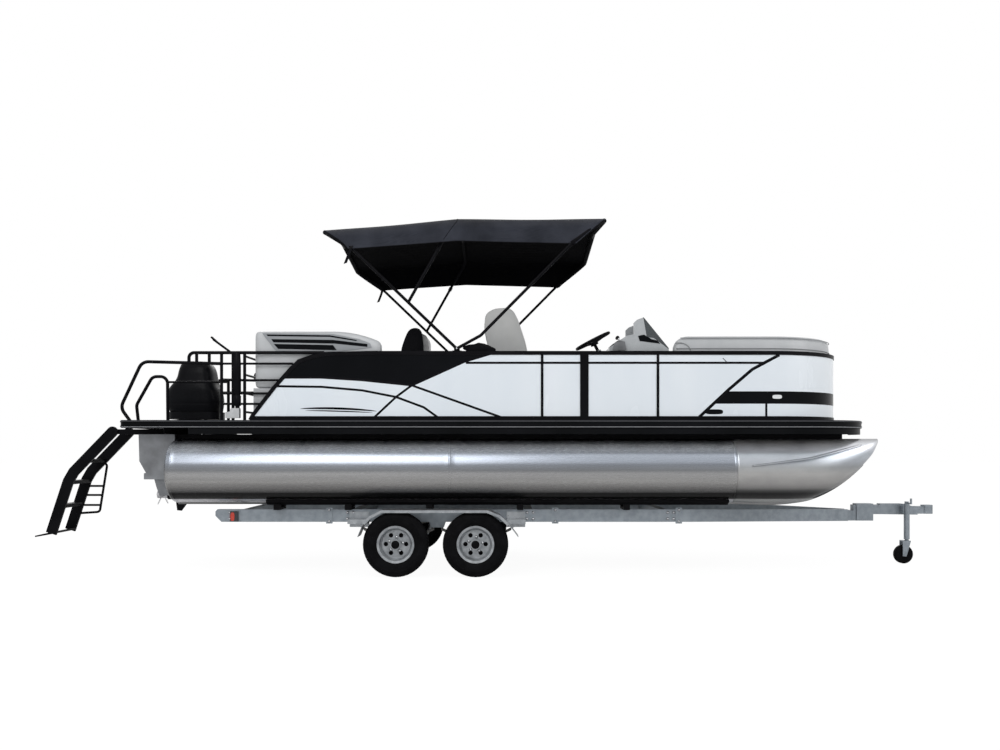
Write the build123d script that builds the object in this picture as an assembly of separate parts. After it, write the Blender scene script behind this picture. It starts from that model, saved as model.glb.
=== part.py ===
from build123d import *
from math import atan2, cos, degrees, pi, radians, sin
import os

os.makedirs("parts", exist_ok=True)

# Millimetres. X points to the bow, Y to port and Z up. The origin is on the floor under the middle.

# Fits and gaps
RUN_GAP = 0.3
SEAT_GAP = 0.3
SWING_GAP = 8

# Hull tubes and their nose cones
TUBE_R = 317.5
TUBE_Y = 915
TUBE_Z = 1025
TUBE_TOP = TUBE_Z + TUBE_R
TUBE_BACK = -3215
NOSE_BACK = 2300
NOSE_TIP = 3775
DISH_DEPTH = 90
WELD_RING = 4
WELD_WIDTH = 24
MID_WELD = -500
KEEL_T = 8
KEEL_DEPTH = 18
STRAKE_T = 6
STRAKE_OUT = 55

# Deck
DECK_TOP = 1520
DECK_T = 30
DECK_BACK = -3666
DECK_FRONT = 3690
DECK_HALF = 1290
DECK_CORNER_R = 700
STERN_CORNER_R = 70
EDGE_DEEP = 75
EDGE_T = 20
EDGE_RIDGE = 5
SKIRT_IN = 12
SKIRT_T = 4
SKIRT_BACK = -3000
RIDGE_TALL = 14
NOTCH_FRONT = -2780
NOTCH_HALF = 360

# Under the deck
CHANNEL_TALL = 105
CHANNEL_FLANGE = 40
CHANNEL_WALL = 5
CHANNEL_PITCH = 405
CHANNEL_FIRST = -3240
CHANNEL_LAST = 3400
CHANNEL_Z = DECK_TOP - DECK_T - CHANNEL_TALL
RISER_HALF = 60
STERN_BRACKET_HALF = 110

# Motor pod and transom
POD_HALF = 280
TRANSOM_BACK = -3140
TRANSOM_T = 45
TRANSOM_TOP = 1460
TRANSOM_HALF = 330
POD_BOTTOM = 960

# Outboard engine
TILT_X = TRANSOM_BACK - 38
TILT_Z = TRANSOM_TOP + 45
TILT_HUB_R = 30
STEER_X = -3230
TILT_PIN_R = 14
STEER_PIN_R = 18
COWL_HALF = 225
COWL_Z = 1640
COWL_TOP = 2275
PROP_X = -3640
PROP_Z = 740
PROP_R = 165
PROP_SHAFT_R = 12
PROP_HUB_R = 42
PROP_HUB_LONG = 110
BLADE_T = 7
BLADE_PITCH = 28

# Fence round the deck
FENCE_Y = 1230
FENCE_FRONT = 3460
FENCE_CORNER_R = 850
FENCE_T = 32
RAIL_TALL = 38
FENCE_TOP = 2188
PANEL_T = 4
PANEL_OUT = 8
TRIM_TALL = 22
TRIM_T = 20
BOW_TRIM = 30
BOW_GATE_HALF = 380
SIDE_GATE_BACK = 855
SIDE_GATE_FRONT = 1525
STERN_GATE_X = -2468
STERN_GATE_HALF = 300
STERN_POST_OUT = 25
GATE_TUBE = 28
POST_WIDE = 30
HINGE_PIN_R = 5
HINGE_OFF = 12
KNUCKLE_TALL = 40
LEAF_TALL = 12

# Black stern rails and boarding ladder
RAIL_DIA = 32
BAR_DIA = 22
INNER_HOOP_IN = 330
INNER_RAIL_END = -2720
INNER_RAIL_Z = 1910
LADDER_PIVOT = (-3900, 1414)
LADDER_FLAT = 105
LADDER_PIN_R = 9
LADDER_SIDE_GAP = 4
ARM_T = 18
ARM_TALL = 50
LADDER_NEAR = -850
LADDER_FAR = -430
LADDER_BAR = 26
GRAB_DIA = 24

# Furniture
BASE_TALL = 310
SEAT_TALL = 130
LOUNGE_OUT = 28
BACK_T = 130
BOW_SEAT_DEEP = 600
BOW_SEAT_BACKS = {-1: 1680, 1: 1600}  # side: back x
BOW_BACK_TOP = 2348
AFT_BACK_TOP = 2397
AFT_SEAT_DEEP = 600
GATE_ROOM = 60
BASE_Z = DECK_TOP + BASE_TALL
SEAT_Z = BASE_Z + SEAT_TALL

# Helm
CONSOLE_Y = -870
CONSOLE_HALF = 310
WHEEL_X = 933
WHEEL_Z = 2325
WHEEL_R = 192
WHEEL_RIM = 14
WHEEL_LEAN = 27
WHEEL_STEM = 210
STEM_R = 16
COLLAR_R = 30

# Swivel chairs
HELM_CHAIR = (68, -620)
MATE_CHAIR = (-917, 450)
COLUMN_R = 38
CHAIR_SEAT_Z = 1850

# Sun top
TOP_PIVOT = (-417, 2211)
MID_PIVOT = (-892, 2672)
TOP_TUBE = 30
TOP_EYE_R = 17
MOUNT_T = 6
TOP_PIN_R = 5
REAR_BOW_Y = 1200
MID_BOW_Y = 1160
FRONT_BOW_Y = 1240
CANOPY_T = 8
CROWN = 90

# Trailer
RAIL_LOW = 514
RAIL_HIGH = 639
TRAILER_Y = 925
CHASSIS_T = 50
CHASSIS_BACK = -2835
CHASSIS_BEND = 1900
ARM_DROP = 60
TONGUE_JOIN = 3790
TONGUE_END = 4150
COUPLER_TIP = 4740
COUPLER_Z = 560
BALL_R = 25
AXLE_XS = (-1009, -237)
WHEEL_TRACK = 1180
TYRE_R = 318
RIM_R = 165
FLANGE_R = 181
SPINDLE_R = 20
HUB_R = 48
AXLE_TALL = 50
FENDER_IN = 1062
FENDER_OUT = 1288
FENDER_T = 5
FENDER_LIP = 26
JOCKEY_X = 4405
JOCKEY_Y = -130
JOCKEY_R = 100
JOCKEY_TRAIL = 40
JOCKEY_LOW = 262
JOCKEY_TOP = 645
JOCKEY_STEM_R = 20
JOCKEY_AXLE_R = 9


def block(x_low, x_high, y_low, y_high, z_low, z_high):
    """A box given by its corners."""
    size = Solid.make_box(x_high - x_low, y_high - y_low, z_high - z_low)
    return size.translate((x_low, y_low, z_low))


def side_plate(points, y_low, y_high):
    """A closed outline of (x, z) points, carried across from y_low to y_high."""
    outline = Wire.make_polygon([(x, y_low, z) for x, z in points], close=True)
    return Solid.extrude(Face(outline), (0, y_high - y_low, 0))


def floor_plate(points, z_low, z_high):
    """A closed outline of (x, y) points, carried up from z_low to z_high."""
    outline = Wire.make_polygon([(x, y, z_low) for x, y in points], close=True)
    return Solid.extrude(Face(outline), (0, 0, z_high - z_low))


def ribbon(points, wide):
    """The outline of a strip of one width along (x, z) points, with mitred corners."""
    left, right = [], []
    for i, (x, z) in enumerate(points):
        before = points[max(i - 1, 0)]
        after = points[min(i + 1, len(points) - 1)]
        turn_in = atan2(z - before[1], x - before[0]) if i else None
        turn_out = atan2(after[1] - z, after[0] - x) if i < len(points) - 1 else None
        turn_in = turn_out if turn_in is None else turn_in
        turn_out = turn_in if turn_out is None else turn_out
        along = (turn_in + turn_out) / 2
        reach = wide / 2 / cos((turn_out - turn_in) / 2)
        left.append((x - reach * sin(along), z + reach * cos(along)))
        right.append((x + reach * sin(along), z - reach * cos(along)))
    return left + right[::-1]


def rod(start, end, radius):
    """A round bar from start to end."""
    run = Vector(*end) - Vector(*start)
    return Solid.make_cylinder(radius, run.length, Plane(origin=start, z_dir=run))


def bent_tube(points, bend, dia):
    """A round tube along points, its corners bent to one radius."""
    path = FilletPolyline(*points, radius=bend) if len(points) > 2 else Line(*points)
    section = Plane(origin=path @ 0, z_dir=path % 0) * Circle(dia / 2)
    return sweep(section, path=path)


def mirrored(shape):
    """The same piece on the other side of the boat."""
    return shape.mirror(Plane.XZ)


def both_sides(*shapes):
    """Each piece and its twin on the other side."""
    return [*shapes, *[mirrored(shape) for shape in shapes]]


def joined(*shapes):
    """Pieces welded into one."""
    return Part() + [solid for shape in shapes for solid in shape.solids()]


def save(node, *shapes):
    """One file for one node, which may hold several loose solids."""
    solids = [solid for shape in shapes for solid in shape.solids()]
    export_step(solids[0] if len(solids) == 1 else Compound(solids), f"parts/{node}.step")


# Hull tubes: a rolled tube with a dished end, a pressed nose, a keel and a lifting strake
NOSE_SECTIONS = [  # x, bottom z
    (NOSE_BACK, TUBE_Z - TUBE_R),
    (2900, 712),
    (3090, 745),
    (3210, 790),
    (3390, 890),
    (3515, 985),
    (3636, 1100),
    (3720, 1200),
    (NOSE_TIP, 1305),
]
STRAKE_LINE = [(2440, 1077), (3000, 1150), (3560, 1280)]


def circle_at(x, bottom, extra):
    """One ring of the nose, wider all round by extra."""
    radius = (TUBE_TOP - bottom) / 2
    plane = Plane((x, -TUBE_Y, TUBE_TOP - radius), z_dir=(1, 0, 0))
    return Wire.make_circle(radius + extra, plane)


def hull_tube():
    """One tube on the starboard side."""
    length = NOSE_BACK - TUBE_BACK
    back = Plane(origin=(TUBE_BACK, -TUBE_Y, TUBE_Z), z_dir=(1, 0, 0))
    body = Solid.make_cylinder(TUBE_R, length, back)
    dish_r = (TUBE_R**2 + DISH_DEPTH**2) / (2 * DISH_DEPTH)
    ball = Solid.make_sphere(dish_r, Plane((TUBE_BACK - DISH_DEPTH + dish_r, -TUBE_Y, TUBE_Z)))
    dish_zone = Solid.make_cylinder(
        TUBE_R, DISH_DEPTH + 1, Plane((TUBE_BACK - DISH_DEPTH - 1, -TUBE_Y, TUBE_Z), z_dir=(1, 0, 0))
    )
    dish = dish_zone & ball
    rings = [
        Solid.make_cylinder(
            TUBE_R + WELD_RING,
            WELD_WIDTH,
            Plane((x, -TUBE_Y, TUBE_Z), z_dir=(1, 0, 0)),
        )
        for x in (TUBE_BACK, MID_WELD, NOSE_BACK - WELD_WIDTH)
    ]
    nose = Solid.make_loft([circle_at(x, bottom, 0) for x, bottom in NOSE_SECTIONS], ruled=True)
    keel_line = [(TUBE_BACK, TUBE_Z - TUBE_R)] + NOSE_SECTIONS[1:-2]
    keel_low = [(x, z - KEEL_DEPTH) for x, z in keel_line]
    keel_high = [(x, z + 40) for x, z in keel_line]
    keel = side_plate(keel_low + keel_high[::-1], -TUBE_Y - KEEL_T / 2, -TUBE_Y + KEEL_T / 2)
    wide_nose = Solid.make_loft([circle_at(x, bottom, STRAKE_OUT) for x, bottom in NOSE_SECTIONS], ruled=True)
    strake = side_plate(ribbon(STRAKE_LINE, STRAKE_T), -TUBE_Y - TUBE_R - STRAKE_OUT, -TUBE_Y) & wide_nose
    return joined(body, dish, *rings, nose, keel, strake)


starboard_tube = hull_tube()
save("tube_starboard", starboard_tube)
save("tube_port", mirrored(starboard_tube))


# Under the deck: a riser along each tube and the cross channels that carry the deck
def under_deck():
    """The risers and channels as loose pieces."""
    cutter = rod(
        (TUBE_BACK - 100, -TUBE_Y, TUBE_Z), (NOSE_TIP, -TUBE_Y, TUBE_Z), TUBE_R + WELD_RING + SEAT_GAP
    )
    riser = block(
        TUBE_BACK, CHANNEL_LAST, -TUBE_Y - RISER_HALF, -TUBE_Y + RISER_HALF, TUBE_TOP - 40, CHANNEL_Z
    )
    pieces = both_sides(riser - cutter)
    count = round((CHANNEL_LAST - CHANNEL_FIRST) / CHANNEL_PITCH)
    for i in range(count + 1):
        x = CHANNEL_FIRST + i * (CHANNEL_LAST - CHANNEL_FIRST) / count
        low, high = CHANNEL_Z, CHANNEL_Z + CHANNEL_TALL
        profile = [
            (x, low),
            (x + CHANNEL_FLANGE, low),
            (x + CHANNEL_FLANGE, low + CHANNEL_WALL),
            (x + CHANNEL_WALL, low + CHANNEL_WALL),
            (x + CHANNEL_WALL, high - CHANNEL_WALL),
            (x + CHANNEL_FLANGE, high - CHANNEL_WALL),
            (x + CHANNEL_FLANGE, high),
            (x, high),
        ]
        corner_x = DECK_FRONT - DECK_CORNER_R
        corner_y = DECK_HALF - DECK_CORNER_R
        inner_r = DECK_CORNER_R - EDGE_T - SWING_GAP
        past = max(x + CHANNEL_FLANGE - corner_x, 0)
        reach = corner_y + (inner_r**2 - past**2) ** 0.5
        if x < NOTCH_FRONT + EDGE_T:
            pieces += both_sides(side_plate(profile, -reach, -NOTCH_HALF - EDGE_T))
        else:
            pieces.append(side_plate(profile, -reach, reach))
    return pieces


save("under_deck_frame", *under_deck())


# Deck: a board inside an extruded edge, cut back round the engine
def deck_outline(inset, z_low, z_high):
    """The deck's plan, drawn in by inset, from z_low to z_high."""
    slab = block(
        DECK_BACK + inset, DECK_FRONT - inset, -DECK_HALF + inset, DECK_HALF - inset, z_low, z_high
    )
    uprights = slab.edges().filter_by(Axis.Z).sort_by(Axis.X)
    slab = slab.fillet(DECK_CORNER_R - inset, uprights[-2:])
    uprights = slab.edges().filter_by(Axis.Z).sort_by(Axis.X)
    slab = slab.fillet(STERN_CORNER_R - inset, uprights[:2])
    notch = block(
        DECK_BACK - 50, NOTCH_FRONT + inset, -NOTCH_HALF - inset, NOTCH_HALF + inset, z_low - 1, z_high + 1
    )
    return slab - notch


save("deck_board", deck_outline(EDGE_T, DECK_TOP - DECK_T, DECK_TOP))


def deck_edge():
    """The edge extrusion with a ridge along its top and foot, and a skirt that hides the channels' ends."""
    low = DECK_TOP - EDGE_DEEP
    ring = deck_outline(0, low, DECK_TOP) - deck_outline(EDGE_T, low, DECK_TOP)
    ridges = []
    for z in (low + 8, DECK_TOP - 8 - RIDGE_TALL):
        ridges.append(
            deck_outline(-EDGE_RIDGE, z, z + RIDGE_TALL) - deck_outline(1, z, z + RIDGE_TALL)
        )
    skirt = deck_outline(SKIRT_IN, CHANNEL_Z, low + 1) - deck_outline(SKIRT_IN + SKIRT_T, CHANNEL_Z, low + 1)
    flank = block(SKIRT_BACK, DECK_FRONT, -DECK_HALF, -NOTCH_HALF - EDGE_T, CHANNEL_Z, low + 1)
    side_only = both_sides(flank)
    return joined(ring, *ridges, *[skirt & zone for zone in side_only])


under_edge = deck_edge()
save("deck_edge", under_edge)

# Stern brackets: an aluminium box behind each tube, under the swim platform
BRACKET_FRONT = TUBE_BACK - SEAT_GAP
STERN_BRACKET = [
    (BRACKET_FRONT, CHANNEL_Z - SEAT_GAP),
    (-3572, CHANNEL_Z - SEAT_GAP),
    (-3565, 1120),
    (-3500, 1005),
    (-3520, 1000),
    (-3520, 940),
    (BRACKET_FRONT, 940),
]
STERN_FIN = [
    (-3455, 940), (BRACKET_FRONT, 940), (BRACKET_FRONT, 800), (-3330, 775), (-3400, 768), (-3430, 850)
]
bracket = side_plate(STERN_BRACKET, -TUBE_Y - STERN_BRACKET_HALF, -TUBE_Y + STERN_BRACKET_HALF)
fin = side_plate(STERN_FIN, -TUBE_Y - KEEL_T, -TUBE_Y + KEEL_T)
stern_box = joined(bracket, fin) - starboard_tube
save("stern_brackets", *both_sides(stern_box))

# Motor pod: a welded box under the middle of the stern that ends in the transom
POD_SIDE = [
    (TRANSOM_BACK + TRANSOM_T, POD_BOTTOM),
    (-2450, POD_BOTTOM),
    (-1950, 1240),
    (-1950, CHANNEL_Z),
    (TRANSOM_BACK + TRANSOM_T, CHANNEL_Z),
]
transom = block(
    TRANSOM_BACK, TRANSOM_BACK + TRANSOM_T, -TRANSOM_HALF, TRANSOM_HALF, POD_BOTTOM, TRANSOM_TOP
)
pod = joined(side_plate(POD_SIDE, -POD_HALF, POD_HALF), transom)
save("motor_pod", pod)

# Outboard clamp: two cheeks over the transom that hold the tilt pin
CLAMP_SIDE = [
    (TRANSOM_BACK - 30, 1150),
    (TRANSOM_BACK + 5, 1150),
    (TRANSOM_BACK + TRANSOM_T + 15, 1330),
    (TRANSOM_BACK + TRANSOM_T + 15, TRANSOM_TOP - 10),
    (TRANSOM_BACK + TRANSOM_T, TRANSOM_TOP + 10),
    (TILT_X + 30, TILT_Z + 16),
    (TILT_X + 12, TILT_Z + 26),
    (TILT_X - 12, TILT_Z + 26),
    (TILT_X - 26, TILT_Z),
    (TRANSOM_BACK - 50, TRANSOM_TOP - 60),
]
CHEEK_IN, CHEEK_OUT = 90, 120


def clamp():
    """Two cheeks and the pin between them."""
    cheek = side_plate(CLAMP_SIDE, CHEEK_IN, CHEEK_OUT) - pod
    pin = rod((TILT_X, -CHEEK_OUT - 12, TILT_Z), (TILT_X, CHEEK_OUT + 12, TILT_Z), TILT_PIN_R)
    return joined(cheek, mirrored(cheek), pin)


save("outboard_clamp", clamp())

# Outboard swivel: hangs on the tilt pin and holds the upright steering pin
SWIVEL_LOW, SWIVEL_HIGH = 1130, 1520


def swivel():
    """A hub on the tilt pin, an arm and the steering barrel."""
    half = CHEEK_IN - 6
    hub = rod((TILT_X, -half, TILT_Z), (TILT_X, half, TILT_Z), TILT_HUB_R)
    arm_side = [
        (TILT_X, TILT_Z - TILT_HUB_R + 2),
        (TILT_X, TILT_Z + TILT_HUB_R - 2),
        (STEER_X, SWIVEL_HIGH),
        (STEER_X, SWIVEL_HIGH - 200),
        (TILT_X, SWIVEL_HIGH - 120),
    ]
    arm = side_plate(arm_side, -half + 40, half - 40)
    barrel = rod((STEER_X, 0, SWIVEL_LOW), (STEER_X, 0, SWIVEL_HIGH), STEER_PIN_R + 20)
    bores = [
        rod((TILT_X, -half - 5, TILT_Z), (TILT_X, half + 5, TILT_Z), TILT_PIN_R + RUN_GAP),
        rod((STEER_X, 0, SWIVEL_LOW - 5), (STEER_X, 0, SWIVEL_HIGH + 80), STEER_PIN_R + RUN_GAP),
    ]
    return joined(hub, arm, barrel) - bores


save("outboard_swivel", swivel())

# Outboard cowl: the rounded cover over the powerhead
COWL_SIDE = [
    (-3060, COWL_Z),
    (-3045, 1760),
    (-3065, 1880),
    (-3110, 2010),
    (-3130, 2130),
    (-3190, 2230),
    (-3300, COWL_TOP),
    (-3410, 2262),
    (-3475, 2190),
    (-3500, 2080),
    (-3560, 1960),
    (-3628, 1830),
    (-3625, 1700),
    (-3590, COWL_Z),
]
COWL_ROUND = 95
COWL_BACK, COWL_FRONT = -3630, -3045


def cowl():
    """The side profile cut by a plan with round corners."""
    side = side_plate(COWL_SIDE, -COWL_HALF, COWL_HALF)
    plan = block(COWL_BACK, COWL_FRONT, -COWL_HALF, COWL_HALF, COWL_Z, COWL_TOP)
    plan = plan.fillet(COWL_ROUND, plan.edges().filter_by(Axis.Z))
    return side & plan


save("outboard_cowl", cowl())

# Outboard leg: pan under the cowl, exhaust housing, plate, gearcase and skeg
LEG_SIDE = [
    (-3282, 1560),
    (-3290, 1060),
    (-3330, 930),
    (-3350, PROP_Z + 10),
    (-3580, PROP_Z + 10),
    (-3580, 930),
    (-3500, 1060),
    (-3520, 1560),
]
SKEG_SIDE = [(-3380, PROP_Z - 30), (-3560, PROP_Z - 30), (-3540, 565), (-3490, 560)]
PAN_LOW = 1560
YOKE_T = 34


def leg():
    """Everything that steers, from the pan down to the skeg."""
    pan = block(-3590, -3050, -COWL_HALF + 30, COWL_HALF - 30, PAN_LOW, COWL_Z)
    pan = pan.fillet(COWL_ROUND, pan.edges().filter_by(Axis.Z))
    housing = side_plate(LEG_SIDE, -62, 62)
    housing = housing.fillet(30, housing.edges().filter_by(Axis.Z, tolerance=12))
    plate_plan = [(-3320, 70), (-3320, -70), (-3420, -110), (-3760, -95), (-3760, 95), (-3420, 110)]
    plate = floor_plate(plate_plan, 918, 930)
    gearcase = rod((-3350, 0, PROP_Z), (PROP_X + 5, 0, PROP_Z), 55)
    nose = Solid.make_sphere(55, Plane((-3350, 0, PROP_Z)))
    skeg = side_plate(SKEG_SIDE, -6, 6)
    pin = rod((STEER_X, 0, SWIVEL_LOW - YOKE_T - 6), (STEER_X, 0, PAN_LOW), STEER_PIN_R)
    low_yoke = block(-3400, STEER_X + 34, -40, 40, SWIVEL_LOW - YOKE_T - 6, SWIVEL_LOW - 6)
    shaft = rod((PROP_X + 5, 0, PROP_Z), (PROP_X - PROP_HUB_LONG - 12, 0, PROP_Z), PROP_SHAFT_R)
    return joined(pan, housing, plate, gearcase, nose, skeg, pin, low_yoke, shaft)


save("outboard_leg", leg())


# Propeller: three pitched blades on a hub
def propeller():
    """Blades are oval plates turned about their own radius."""
    front = (PROP_X, 0, PROP_Z)
    back = (PROP_X - PROP_HUB_LONG, 0, PROP_Z)
    hub = rod(front, back, PROP_HUB_R)
    blades = []
    for i in range(3):
        blade = extrude(Plane.XZ * Ellipse(62, 66), BLADE_T / 2, both=True)
        blade = blade.rotate(Axis.Z, 90 - BLADE_PITCH)
        blade = blade.translate((0, 0, PROP_R - 68))
        blade = blade.rotate(Axis.X, i * 120)
        blades.append(blade.translate((PROP_X - PROP_HUB_LONG / 2, 0, PROP_Z)))
    bore = rod((PROP_X + 5, 0, PROP_Z), (PROP_X - PROP_HUB_LONG - 5, 0, PROP_Z), PROP_SHAFT_R + RUN_GAP)
    return joined(hub, *blades) - bore


save("propeller", propeller())


# Fence: rails, posts and trims cut from one curved band
def fence_plan(inset, z_low, z_high):
    """The plan inside the fence line, drawn in by inset."""
    slab = block(
        DECK_BACK, FENCE_FRONT - inset, -FENCE_Y + inset, FENCE_Y - inset, z_low, z_high
    )
    corners = slab.edges().filter_by(Axis.Z).sort_by(Axis.X)[-2:]
    return slab.fillet(FENCE_CORNER_R - inset, corners)


def fence_band(outer, inner, z_low=DECK_TOP, z_high=FENCE_TOP):
    """The wall between two insets of the fence line."""
    return fence_plan(outer, z_low, z_high) - fence_plan(inner, z_low, z_high)


FENCE_REAR = [  # the slanted stern edge of the starboard fence, x and z
    (-2412, DECK_TOP),
    (-2385, 1570),
    (-2178, 1837),
    (-2020, 2014),
    (-1941, 2090),
    (-1823, 2130),
    (-1685, 2158),
    (-1132, 2173),
]
TRIM_A = [(-48, 2173), (-343, 2084), (-856, 1853), (-1004, 1743), (-1221, 1540)]
TRIM_B = [(-2079, 1931), (-1724, 1931), (-1330, 1906), (-856, 1857), (32, 1540)]
TRIM_C = [(-2160, 1847), (-1724, 1841), (-1330, 1807), (-1004, 1743), (-737, 1644), (-590, 1540)]
TRIM_BOW = [(2700, 2150), (2648, 2124), (2436, 2010), (2204, 1811), (1890, 1518)]
BLACK_STERN = [
    (-2079, 1931), (-2020, 2014), (-1941, 2090), (-1823, 2130), (-1685, 2158), (-1132, 2173),
    (-48, 2173), (-343, 2084), (-856, 1853), (-1330, 1906), (-1724, 1931),
]
BOW_BAND = (1678, 1798)
FAR_SIDE = -3000


def fence_frame():
    """Starboard rails and posts, welded into one."""
    band = fence_band(-FENCE_T / 2, FENCE_T / 2)
    strips = [
        side_plate(ribbon(FENCE_REAR, RAIL_TALL), FAR_SIDE, 0),
        block(-1132, 4000, FAR_SIDE, 0, FENCE_TOP - RAIL_TALL, FENCE_TOP),
        block(-2400, 4000, FAR_SIDE, 0, DECK_TOP, DECK_TOP + RAIL_TALL),
        block(773, 855, FAR_SIDE, 0, DECK_TOP, FENCE_TOP),
        block(1512, 1537, FAR_SIDE, 0, DECK_TOP, FENCE_TOP),
        block(394, 419, FAR_SIDE, 0, DECK_TOP, FENCE_TOP),
        block(FENCE_FRONT - 100, 4000, -BOW_GATE_HALF - FENCE_T, 0, DECK_TOP, FENCE_TOP),
    ]
    behind_gate = block(DECK_BACK - 10, 4000, FAR_SIDE, -BOW_GATE_HALF, 0, 3000)
    return joined(*[(band & strip) & behind_gate for strip in strips])


def fence_trims():
    """Narrow strips that divide the panels."""
    band = fence_band(-TRIM_T / 2, TRIM_T / 2)
    trims = [
        side_plate(ribbon(TRIM_A, TRIM_TALL), FAR_SIDE, 0),
        side_plate(ribbon(TRIM_B, TRIM_TALL), FAR_SIDE, 0),
        side_plate(ribbon(TRIM_C, TRIM_TALL), FAR_SIDE, 0),
        side_plate(ribbon(TRIM_BOW, BOW_TRIM), FAR_SIDE, 0),
        block(-330, 2540, FAR_SIDE, 0, 2062, 2062 + TRIM_TALL),
        block(2560, 2582, FAR_SIDE, 0, DECK_TOP, BOW_BAND[0] + 4),
    ]
    return [band & trim for trim in trims]


def fence_side():
    """One side's welded frame and its sheet panels, white and black."""
    frame = joined(fence_frame(), *fence_trims())
    sheet = fence_band(-PANEL_OUT - PANEL_T / 2, -PANEL_OUT + PANEL_T / 2)
    inside = side_plate(
        FENCE_REAR + [(4000, 2173), (4000, DECK_TOP + 15), (-2400, DECK_TOP + 15)], FAR_SIDE, -BOW_GATE_HALF - 5
    )
    panels = (sheet & inside) - frame
    black_zone = side_plate(BLACK_STERN, FAR_SIDE, 0)
    band_zone = side_plate(
        [(1890, BOW_BAND[0]), (4000, BOW_BAND[0]), (4000, BOW_BAND[1]), (1890, BOW_BAND[1])], FAR_SIDE, 0
    )
    ahead = side_plate(TRIM_BOW + [(4000, DECK_TOP), (4000, FENCE_TOP)], FAR_SIDE, 0)
    black_zone = joined(black_zone, band_zone & ahead)
    return frame, panels - black_zone, panels & black_zone


frame_s, white_s, black_s = fence_side()
gate_gap = block(SIDE_GATE_BACK, SIDE_GATE_FRONT, 0, -FAR_SIDE, 0, 3000)
port_posts = [
    block(x, x + POST_WIDE, FENCE_Y - FENCE_T / 2, FENCE_Y + FENCE_T / 2, DECK_TOP, FENCE_TOP)
    for x in (SIDE_GATE_BACK - POST_WIDE, SIDE_GATE_FRONT)
]
frame_p = joined(mirrored(frame_s) - gate_gap, *port_posts)
post_room = joined(gate_gap, *port_posts)
white_p = mirrored(white_s) - post_room
black_p = mirrored(black_s) - post_room
save("fence_panels_white", white_s, white_p)
save("fence_panels_black", black_s, black_p)

# Gate hinges: a knuckle on the gate turns on a pin that two small leaves hold on the post
HINGE_HEIGHTS = (1640, 2030)


def hinge(axis, gate_way, post_way):
    """Pins with leaves for the post, and knuckles for the gate; each way is a corner (dx, dy)."""
    x, y = axis
    pins, knuckles = [], []
    for z in HINGE_HEIGHTS:
        pins.append(rod((x, y, z - LEAF_TALL), (x, y, z + KNUCKLE_TALL + LEAF_TALL), HINGE_PIN_R))
        for low in (z - LEAF_TALL, z + KNUCKLE_TALL + 1):
            leaf_x = sorted((x - HINGE_PIN_R * (post_way[0] > 0), x + post_way[0]))
            leaf_y = sorted((y - HINGE_PIN_R * (post_way[1] > 0), y + post_way[1]))
            pins.append(block(*leaf_x, *leaf_y, low, low + LEAF_TALL - 1))
        knuckle = rod((x, y, z), (x, y, z + KNUCKLE_TALL), HINGE_PIN_R + 4)
        leaf = block(*sorted((x, x + gate_way[0])), *sorted((y, y + gate_way[1])), z, z + KNUCKLE_TALL)
        bore = rod((x, y, z - 1), (x, y, z + KNUCKLE_TALL + 1), HINGE_PIN_R + RUN_GAP)
        knuckles.append(joined(knuckle, leaf) - bore)
    return pins, knuckles


BOW_HINGE = (FENCE_FRONT - FENCE_T / 2 - HINGE_OFF, -BOW_GATE_HALF + SWING_GAP / 2)
SIDE_HINGE = (SIDE_GATE_FRONT - SWING_GAP / 2, FENCE_Y - FENCE_T / 2 - HINGE_OFF)
TO_GATE = HINGE_OFF + (FENCE_T - GATE_TUBE) / 2
bow_pins, bow_knuckles = hinge(BOW_HINGE, (TO_GATE, 24), (HINGE_OFF, -24))
side_pins, side_knuckles = hinge(SIDE_HINGE, (-24, TO_GATE), (24, HINGE_OFF))
save("fence_frames", joined(frame_s, *bow_pins), joined(frame_p, *side_pins))


# Gates: a tube frame with a sheet, hinged on one post
def gate(wide, low, high, sheet_t=PANEL_T):
    """A gate in the XZ plane from x = 0 to wide, its sheet in the middle."""
    ring = block(0, wide, -GATE_TUBE / 2, GATE_TUBE / 2, low, high) - block(
        GATE_TUBE, wide - GATE_TUBE, -GATE_TUBE, GATE_TUBE, low + GATE_TUBE, high - GATE_TUBE
    )
    sheet = block(
        GATE_TUBE, wide - GATE_TUBE, -sheet_t / 2, sheet_t / 2, low + GATE_TUBE, high - GATE_TUBE
    )
    return ring, sheet


GATE_LOW = DECK_TOP + 20
GATE_HIGH = FENCE_TOP
BOW_GATE_WIDE = 2 * (BOW_GATE_HALF - SWING_GAP)
bow_ring, bow_sheet = [
    piece.rotate(Axis.Z, 90).translate((FENCE_FRONT, -BOW_GATE_WIDE / 2, 0))
    for piece in gate(BOW_GATE_WIDE, GATE_LOW, GATE_HIGH)
]
save("bow_gate_frame", joined(bow_ring, *bow_knuckles))
save("bow_gate_panel", bow_sheet)
SIDE_GATE_WIDE = SIDE_GATE_FRONT - SIDE_GATE_BACK - 2 * SWING_GAP
side_ring, side_sheet = [
    piece.translate((SIDE_GATE_BACK + SWING_GAP, FENCE_Y, 0))
    for piece in gate(SIDE_GATE_WIDE, GATE_LOW, GATE_HIGH)
]
save("port_gate_frame", joined(side_ring, *side_knuckles))
save("port_gate_panel", side_sheet)

# Stern gate: a black tube frame with three bars
STERN_GATE_TOP = 2160
STERN_GATE_WIDE = 2 * (STERN_GATE_HALF - SWING_GAP)


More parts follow.
